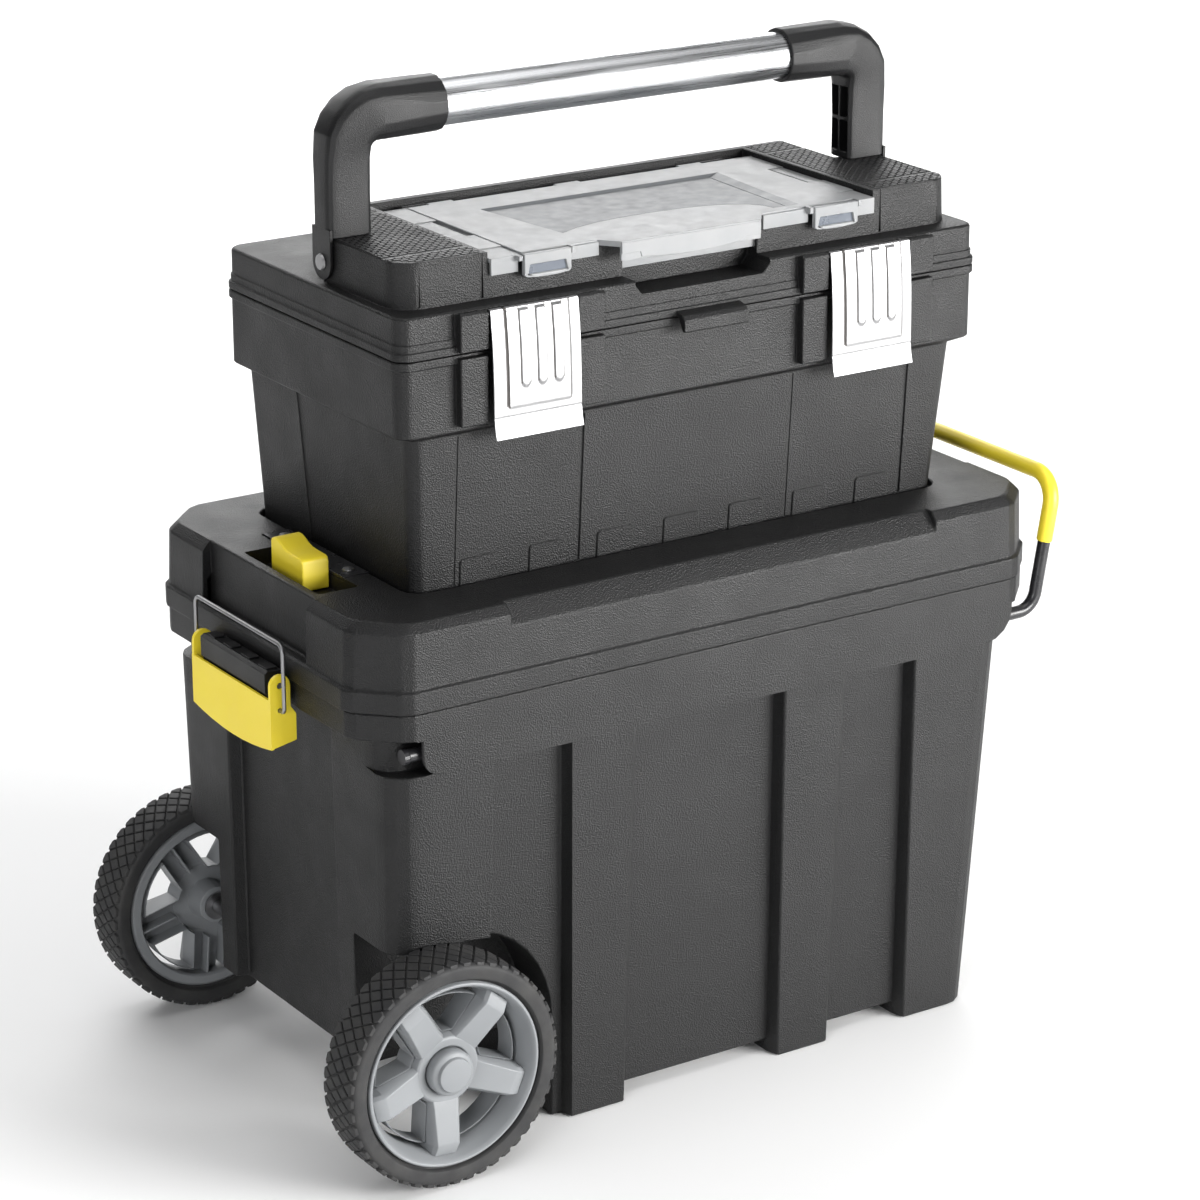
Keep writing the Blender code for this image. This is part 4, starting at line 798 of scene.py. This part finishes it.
def make_steel_latch(name, middle):
    """A pressed plate: rolled top, three long flutes, creased panel edges and a flared lip, with painted
    shade lines along the flute outlines and creases.
    """
    pin_y, pin_z = -0.1192, 0.5960
    over = []
    for degrees in (-40, 0, 40, 80, 115, 145):
        angle = math.radians(degrees)
        over.append((pin_y + LATCH_ROLL * math.cos(angle), pin_z + LATCH_ROLL * math.sin(angle)))
    down = [
        (-0.1228, 0.5885),
        (-0.1241, 0.5780),
        (-0.1251, 0.5640),
        (-0.1257, 0.5500),
        (-0.1260, 0.5380),
        (-0.1261, 0.5290),
        (-0.1263, 0.5230),
        (-0.1272, 0.5160),
        (-0.1289, 0.5092),
    ]
    path = smooth_path(over + down, 9)
    columns = 200
    flutes, flute_foot = (-0.0098, 0.0036, 0.0168), 0.5475
    panel_left, panel_right, panel_foot = -0.0232, 0.0262, 0.5300
    fold_left, fold_right, fold_foot = -0.0240, 0.0268, 0.5310
    lip_bend, rolled_top = 0.5235, 0.5966
    bm = bmesh.new()
    grid = []
    crease = {}
    for i, (y, z) in enumerate(path):
        before, after = path[max(i - 1, 0)], path[min(i + 1, len(path) - 1)]
        ty, tz = after[0] - before[0], after[1] - before[1]
        size = math.hypot(ty, tz)
        ny, nz = tz / size, -ty / size
        on_face = ramp(z, rolled_top, 0.0022)
        row = []
        for k in range(columns + 1):
            x = -LATCH_HALF + 2 * LATCH_HALF * k / columns
            height = 0.0
            line = False
            for centre in flutes:
                reach = abs(x - centre)
                if z < flute_foot:
                    reach = math.hypot(reach, flute_foot - z)
                height += 0.0010 * ramp(reach, 0.0036, 0.0010) * on_face
                line = line or 0.0034 < reach < 0.0043
            inside = ramp(panel_left, x, 0.0012) * ramp(x, panel_right, 0.0010) * ramp(panel_foot, z, 0.0020)
            above_fold = ramp(fold_foot, z, 0.002)
            height += 0.0005 * inside * on_face
            height -= 0.0009 * ramp(abs(x - fold_left), 0.0008, 0.0008) * above_fold
            height -= 0.0003 * ramp(abs(x - fold_right), 0.0005, 0.0006) * above_fold
            height -= 0.0004 * ramp(abs(z - lip_bend), 0.0009, 0.0014)
            if z > panel_foot + 0.0005:
                line = line or abs(x - fold_left) < 0.0012 or abs(x - fold_right) < 0.0005
            line = line or (abs(z - panel_foot) < 0.0006 and fold_left < x < fold_right)
            vert = bm.verts.new((middle + x, y + ny * height, z + nz * height))
            crease[vert] = line
            row.append(vert)
        grid.append(row)
    for first, second in zip(grid, grid[1:]):
        for k in range(columns):
            face = bm.faces.new((first[k], first[k + 1], second[k + 1], second[k]))
            # Faces on the flute outlines, the folds and the panel's foot get the dark second material:
            # painted shade lines.
            face.material_index = 1 if sum(crease[v] for v in face.verts) >= 3 else 0
    latch = finish_mesh(f"steel_latch_{name}_pressed", bm, bright_steel, 50)
    latch.data.materials.append(crease_shade_paint)
    solid = latch.modifiers.new("sheet", "SOLIDIFY")
    solid.thickness = SHEET
    solid.offset = -1.0
    add_piece(latch, f"steel_latch_{name}", "bright_steel", f"steel_latch_{name}")


# ---------------------------------------------------------------- carry handle

BOX_X = 0.0195
TUBE_Z = 0.715
TUBE_SIDES = 72


def make_carry_tube():
    """The bare tube between the handle's arms, with its two ends slightly rounded."""
    end = [(-0.1568, 0.0150), (-0.1568, 0.0169), (-0.1560, 0.0170)]
    bm = bmesh.new()
    rings = []
    for x, r in end + [(-x, r) for x, r in reversed(end)]:
        ring = []
        for k in range(TUBE_SIDES):
            angle = 2 * math.pi * k / TUBE_SIDES
            ring.append(Vector((BOX_X + x, r * math.cos(angle), TUBE_Z + r * math.sin(angle))))
        rings.append(ring)
    loft_rings(bm, rings)
    tube = finish_mesh("carry_tube_brushed", bm, aluminium, 40)
    add_piece(tube, "carry_handle", "aluminium", "carry_tube")


def mirrored(half):
    """A path and its mirror image in y, as one path."""
    return half + [Vector((p.x, -p.y, p.z)) for p in reversed(half)]


def make_pull_handle():
    """The bent rod and its sleeve, drawn with fine round bends."""
    rod_y, rod_z, grip_x, grip_z = 0.1523, 0.308, 0.3143, 0.408
    foot, elbow = Vector((0.297, -rod_y, rod_z)), Vector((grip_x, -rod_y, grip_z))
    start, middle = Vector((-0.246, -rod_y, rod_z)), Vector((grip_x, 0, grip_z))
    low_bend = arc_corner(foot, start, elbow, 0.016)
    high_bend = arc_corner(elbow, foot, middle, 0.022, 14)

    bm = bmesh.new()
    sweep(bm, mirrored([start] + low_bend + high_bend), 0.0048, 28)
    rod = finish_mesh("pull_rod_bent", bm, rod_paint, 40)
    bevel(rod, 0.0006, 2, 40)
    add_piece(rod, "pull_handle", "black_rod", "pull_rod")
    slope = (high_bend[0] - low_bend[-1]).normalized()
    end = high_bend[0] - slope * 0.027
    lead = [end, end + slope * 0.0006, end + slope * 0.0014]
    path = mirrored(lead + high_bend)
    last = len(path) - 1

    def thickness(i):
        edge = min(i, last - i)
        return (0.0051, 0.0057, 0.0060)[edge] if edge < 3 else 0.0060

    bm = bmesh.new()
    sweep(bm, path, thickness, 32)
    grip = finish_mesh("pull_grip_sleeve", bm, yellow, 45)
    add_piece(grip, "pull_handle", "yellow_plastic", "pull_grip")


# ---------------------------------------------------------------- deck and upper box

DECK_Z = 0.632
DECK_CORNER = 0.020
BRICK_PITCH_X, BRICK_PITCH_Y = 0.0072, 0.0036
BRICK_GAP = 0.0009
SHORTEST_BRICK = 0.0015
PAD_FRONT_Y, PAD_DEPTH = -0.0945, 0.1620
PLAIN_ROWS = (-0.0770, 0.0400)


def brick(bm, low_x, high_x, low_y):
    """One brick on the deck, narrower at its top."""
    high_y = low_y + BRICK_PITCH_Y - BRICK_GAP
    rings = []
    for inset, height in ((0.0, -0.0004), (0.0, 0.0002), (0.0004, 0.0005)):
        x, y = (low_x + inset, high_x - inset), (low_y + inset, high_y - inset)
        corners = ((x[0], y[0]), (x[1], y[0]), (x[1], y[1]), (x[0], y[1]))
        rings.append([Vector((*corner, DECK_Z + height)) for corner in corners])
    loft_rings(bm, rings)


def past_round_corner(low_x, high_x, y):
    """Whether a brick would stand over one of the deck's round front corners."""
    edge = max(abs(low_x - BOX_X), abs(high_x - BOX_X))
    return y < -0.0760 and edge > 0.2133 + math.sqrt(max(0.0, DECK_CORNER**2 - (0.0775 + y) ** 2))


def make_deck_pads():
    """Rows of small raised bricks on the deck, on both sides of the organizer."""
    bm = bmesh.new()
    for row in range(int(PAD_DEPTH / BRICK_PITCH_Y)):
        y = PAD_FRONT_Y + BRICK_PITCH_Y * row
        if any(abs(y - plain_y) < 0.0022 for plain_y in PLAIN_ROWS):
            continue
        arms_beside = y > -0.0015
        for low_x, high_x, arm_x in ((-0.2125, -0.1470, -0.1800), (0.1845, 0.2515, 0.2190)):
            x = low_x - (0.5 * BRICK_PITCH_X if row % 2 else 0.0)
            while x < high_x:
                first, second = max(x, low_x), min(x + BRICK_PITCH_X - BRICK_GAP, high_x)
                x += BRICK_PITCH_X
                if arms_beside and arm_x < 0:
                    first = max(first, arm_x)
                if arms_beside and arm_x > 0:
                    second = min(second, arm_x)
                if second - first >= SHORTEST_BRICK and not past_round_corner(first, second, y):
                    brick(bm, first, second, y)
    pads = finish_mesh("deck_pads", bm, satin_black, 30)
    add_piece(pads, "upper_lid", "black_plastic")


def groove(bm, tree, x_low, x_high, z_low, z_high, depth):
    """A cutter for a shallow groove that follows the sloping front wall."""
    rings = []
    for z in (z_low, z_high):
        surface = tree.ray_cast(Vector(((x_low + x_high) / 2, -0.5, z)), Vector((0, 1, 0)))[0].y
        front, back = surface - 0.01, surface + depth
        corners = ((x_low, front), (x_high, front), (x_high, back), (x_low, back))
        rings.append([Vector((*corner, z)) for corner in corners])
    loft_rings(bm, rings)


def make_box_front(base):
    """Grooves and raised tabs on the front wall of the upper box, and a ridge on each end wall."""
    tree = surface_tree("box_base")
    for low, high, depth in (
        (-0.1775, -0.1763, 0.0007),
        (-0.0792, -0.0742, 0.0014),
        (0.1022, 0.1034, 0.0007),
        (0.2032, 0.2072, 0.0014),
    ):
        bm = bmesh.new()
        groove(bm, tree, low, high, 0.402, 0.511, depth)
        boolean(base, bm, "DIFFERENCE")
    soften(base, 0.0011)
    bm = bmesh.new()
    for index in range(7):
        low = -0.1727 + 0.05628 * index
        high = low + 0.0303
        outline = [(low, 0.3995), (high, 0.3995)]
        for corner_x, first in ((high - 0.003, 0), (low + 0.003, 90)):
            for step in range(5):
                angle = math.radians(first + 90 * step / 4)
                outline.append((corner_x + 0.003 * math.cos(angle), 0.4180 + 0.003 * math.sin(angle)))
        rings = []
        middle_x, middle_z = (low + high) / 2, 0.4100
        for inset, out in ((0.0, -0.002), (0.0, 0.0006), (0.0006, 0.0012)):
            ring = []
            for x, z in outline:
                x_in = x + math.copysign(inset, middle_x - x)
                z_in = z + (-inset if z > middle_z else 0.0)
                surface = tree.ray_cast(Vector((x_in, -0.5, z_in)), Vector((0, 1, 0)))[0].y
                ring.append(Vector((x_in, surface - out, z_in)))
            rings.append(ring)
        loft_rings(bm, rings)
    for side in (-1, 1):
        rings = []
        for z in (0.4010, 0.5100):
            middle_y = 0.0470 + (z - 0.5143) * 0.079
            wall = tree.ray_cast(Vector((side * 0.5, middle_y, z)), Vector((-side, 0, 0)))[0].x
            ring = [(0.0016, -0.001), (0.0009, 0.0007), (-0.0009, 0.0007), (-0.0016, -0.001)]
            rings.append([Vector((wall + side * out, middle_y + across, z)) for across, out in ring])
        loft_rings(bm, rings)
    tabs = finish_mesh("box_front_tabs", bm, black, 30)
    add_piece(tabs, "upper_box", "black_plastic")


# ---------------------------------------------------------------- end latch and slide lock

def make_slider():
    """The lid's yellow slider: a thumb hump with a long low tail."""
    profile = [
        (0.0138, 0.3912),
        (0.0138, 0.4170),
        (0.0128, 0.4193),
        (0.0100, 0.4207),
        (0.0055, 0.4208),
        (0.0010, 0.4192),
        (-0.0040, 0.4170),
        (-0.0090, 0.4155),
        (-0.0170, 0.4150),
        (-0.0270, 0.4148),
        (-0.0300, 0.4138),
        (-0.0308, 0.4115),
        (-0.0308, 0.3912),
    ]
    bm = bmesh.new()
    prism(bm, profile, "X", -0.2556, -0.2344)
    slider = finish_mesh("lock_slider_thumb", bm, yellow, 30)
    bevel(slider, 0.0011, 3, 40)
    add_piece(slider, "lock_slider", "yellow_plastic", "lock_slider")


def make_bracket_ribs():
    """Low blocks along the top of the latch's bracket."""
    bm = bmesh.new()
    for y in (-0.0380, -0.0130, 0.0130, 0.0380):
        slab(bm, (-0.2930, y - 0.0060, 0.3455), (-0.2845, y + 0.0060, 0.3472))
    ribs = finish_mesh("latch_bracket_ribs", bm, satin_black, 30)
    bevel(ribs, 0.0005, 2, 40)
    add_piece(ribs, "chest", "handle_plastic")


def make_bail():
    """The latch's wire loop, bent round its four corners."""
    x, foot_z, top_z, half_y = -0.2905, 0.320, 0.369, 0.0635
    foot = Vector((x, -0.0525, foot_z))
    turn = Vector((x, -half_y, foot_z))
    shoulder = Vector((x, -half_y, top_z))
    half = [foot] + arc_corner(turn, foot, shoulder, 0.0035, 8)
    half += arc_corner(shoulder, turn, (x, 0, top_z), 0.0065, 12)
    bm = bmesh.new()
    sweep(bm, mirrored(half), 0.0015, 20)
    bail = finish_mesh("latch_bail_wire", bm, bright_steel, 40)
    add_piece(bail, "end_latch_wire", "bright_steel", "latch_bail")


# ---------------------------------------------------------------- organizer

PANEL_ARC = (
    (-0.0655, -0.0690),
    (-0.0490, -0.0612),
    (-0.0298, -0.0562),
    (-0.0110, -0.0540),
    (0.0083, -0.0532),
    (0.0270, -0.0535),
    (0.0440, -0.0549),
    (0.0620, -0.0578),
    (0.0780, -0.0628),
    (0.0900, -0.0710),
    (0.0965, -0.0800),
    (0.0988, -0.0900),
)


def ribbon(bm, path, half, low, high):
    """A thin strip along a path of (x, y) points."""
    rings = []
    for i, point in enumerate(path):
        before, after = Vector(path[max(i - 1, 0)]), Vector(path[min(i + 1, len(path) - 1)])
        along = (after - before).normalized()
        across = Vector((-along.y, along.x)) * half
        first, second = Vector(point) + across, Vector(point) - across
        corners = ((first, low), (second, low), (second, high), (first, high))
        rings.append([Vector((*p, z)) for p, z in corners])
    loft_rings(bm, rings)


def make_organizer_lid():
    """Frosted lid: a sunken panel with an arched front edge, lower end strips, skirts and a curved lip."""
    lid = plain_copy("organizer_lid")
    top = 0.6286
    slab_boolean(lid, (-0.0715, -0.0815, 0.6255), (0.1095, 0.0315, top), "UNION")
    bm = bmesh.new()
    panel = [(-0.0770, 0.0205), *PANEL_ARC, (0.1200, -0.0900), (0.1254, 0.0205)]
    rings = []
    for z, share in ((top + 0.002, -1.2), (top, 0.0), (top - 0.0017, 1.0)):
        ring = []
        for x, y in panel:
            inset = 0.0075 if x > 0.11 else 0.0
            inset_y = 0.0022 if y > 0 else 0.0
            ring.append(Vector((x - inset * share, y - inset_y * share, z)))
        rings.append(ring)
    loft_rings(bm, rings)
    boolean(lid, bm, "DIFFERENCE")
    for low, high, depth in (
        ((-0.150, -0.110), (-0.1180, 0.0516), 0.0005),
        ((-0.150, -0.110), (-0.1180, -0.0745), 0.0012),
        ((-0.150, -0.0384), (-0.1180, 0.0116), 0.0012),
        ((-0.1225, -0.0384), (-0.1180, 0.0116), 0.0024),
        ((0.1640, -0.110), (0.190, 0.0516), 0.0005),
        ((0.1640, -0.110), (0.190, -0.0745), 0.0012),
        ((0.1640, -0.0384), (0.190, 0.0116), 0.0012),
        ((0.1640, -0.0384), (0.1685, 0.0116), 0.0024),
    ):
        slab_boolean(lid, (*low, top - depth), (*high, top + 0.004), "DIFFERENCE")
    for low_x, high_x, low_z in (
        (-0.1428, -0.1214, 0.6158),
        (-0.0790, -0.0560, 0.6180),
        (0.0822, 0.1212, 0.6172),
        (0.1640, 0.1798, 0.6158),
    ):
        slab_boolean(lid, (low_x, -0.1000, low_z), (high_x, -0.0979, top - 0.0013), "UNION")
    bm = bmesh.new()
    lip = [(0.0713, 0.6275), (-0.0452, 0.6275), (-0.0452, 0.6198), (-0.0300, 0.6198), (-0.0288, 0.6160)]
    lip_steps = 12
    for step in range(1, lip_steps):
        share = step / lip_steps
        lip.append((-0.0288 + 0.0868 * share, 0.6160 - 0.0026 * math.sin(math.pi * share)))
    lip += [(0.0580, 0.6162), (0.0592, 0.6184), (0.0713, 0.6184)]
    prism(bm, lip, "Y", -0.1126, -0.1105)
    boolean(lid, bm, "UNION")
    # The sunken panel's floor and walls take the darker material: painted shade.
    lid.data.materials.append(panel_shade_paint)
    for face in lid.data.polygons:
        in_panel = -0.078 < face.center.x < 0.126 and -0.0901 < face.center.y < 0.0215
        if in_panel and top - 0.0018 < face.center.z < top - 0.0002:
            face.material_index = 1
    soften(lid, 0.0004)
    # Dark strips along the panel's arc, the end strips, the slope and the deep slots: painted shade lines at
    # the step edges.
    bm = bmesh.new()
    ribbon(bm, PANEL_ARC, 0.00035, top - 0.0005, top + 0.00012)
    ribbon(bm, [(-0.1184, 0.0510), (-0.1184, -0.0970)], 0.0003, top - 0.0008, top - 0.0003)
    ribbon(bm, [(0.1644, 0.0510), (0.1644, -0.0970)], 0.0003, top - 0.0008, top - 0.0003)
    ribbon(bm, [(0.1180, 0.0185), (0.1126, -0.0880)], 0.0004, top - 0.0019, top - 0.0015)
    ribbon(bm, [(-0.1205, 0.0110), (-0.1205, -0.0378)], 0.0014, top - 0.0027, top - 0.0022)
    ribbon(bm, [(0.1663, 0.0110), (0.1663, -0.0378)], 0.0014, top - 0.0027, top - 0.0022)
    creases = finish_mesh("organizer_lid_painted_shade_strips", bm, strip_shade_paint, 30)
    add_piece(creases, "organizer_lid", "clear_plastic")


def make_clips():
    """The organizer's two snap clips, each with a thin window in a curved plate."""
    half = 0.0189
    for name, middle in (("left", -0.1005), ("right", 0.1425)):
        outline = [(middle - half, 0.6283), (middle - half, 0.6135)]
        for step in range(9):
            share = -1 + 2 * step / 8
            outline.append((middle + (half - 0.002) * share, 0.6112 + 0.0010 * share * share))
        outline += [(middle + half, 0.6135), (middle + half, 0.6283)]
        bm = bmesh.new()
        prism(bm, outline, "Y", -0.1052, -0.1012)
        clip = finish_mesh(f"organizer_clip_{name}_snap", bm, clear, 30)
        bm = bmesh.new()
        window = [
            (middle - half + 0.0045, 0.6208),
            (middle - half + 0.0030, 0.6140),
            (middle + half - 0.0030, 0.6140),
            (middle + half - 0.0045, 0.6208),
        ]
        prism(bm, window, "Y", -0.1070, -0.1036)
        boolean(clip, bm, "DIFFERENCE")
        clip.data.materials.append(clear_thin)
        for face in clip.data.polygons:
            if face.normal.y < -0.9 and abs(face.center.y + 0.1036) < 0.0001:
                face.material_index = 1
        soften(clip, 0.0006)
        add_piece(clip, f"organizer_clip_{name}", "clear_plastic", f"organizer_clip_{name}")


# ---------------------------------------------------------------- the whole object

# The end stops are painted like the rod that they hold.
for stop in ("rod_stop_front", "rod_stop_back"):
    nodes[stop].data.materials[0] = rod_paint

for side_sign, side_name in ((-1, "front"), (1, "back")):
    make_tyre(side_sign, side_name)
    make_hub(side_sign, side_name)
    make_cap(side_sign, side_name)
for latch_name, latch_x in (("left", -0.1222), ("right", 0.1607)):
    make_steel_latch(latch_name, latch_x)
make_carry_tube()
make_pull_handle()
make_deck_pads()
make_slider()
make_bracket_ribs()
make_bail()
make_organizer_lid()
make_clips()

make_box_front(plain_copy("box_base"))
for node_name, edge, join in (
    ("chest_shell", 0.0016, True),
    ("chest_lid", 0.0016, True),
    ("box_lid", 0.0011, True),
    ("latch_lever", 0.0009, False),
    ("latch_bracket", 0.0008, False),
    ("lock_plate", 0.0003, False),
    ("carry_arm_left", 0.0012, False),
    ("carry_arm_right", 0.0012, False),
    ("inner_tray", 0.0006, True),
    ("organizer_tray", 0.0003, True),
):
    soften(plain_copy(node_name, join), edge)
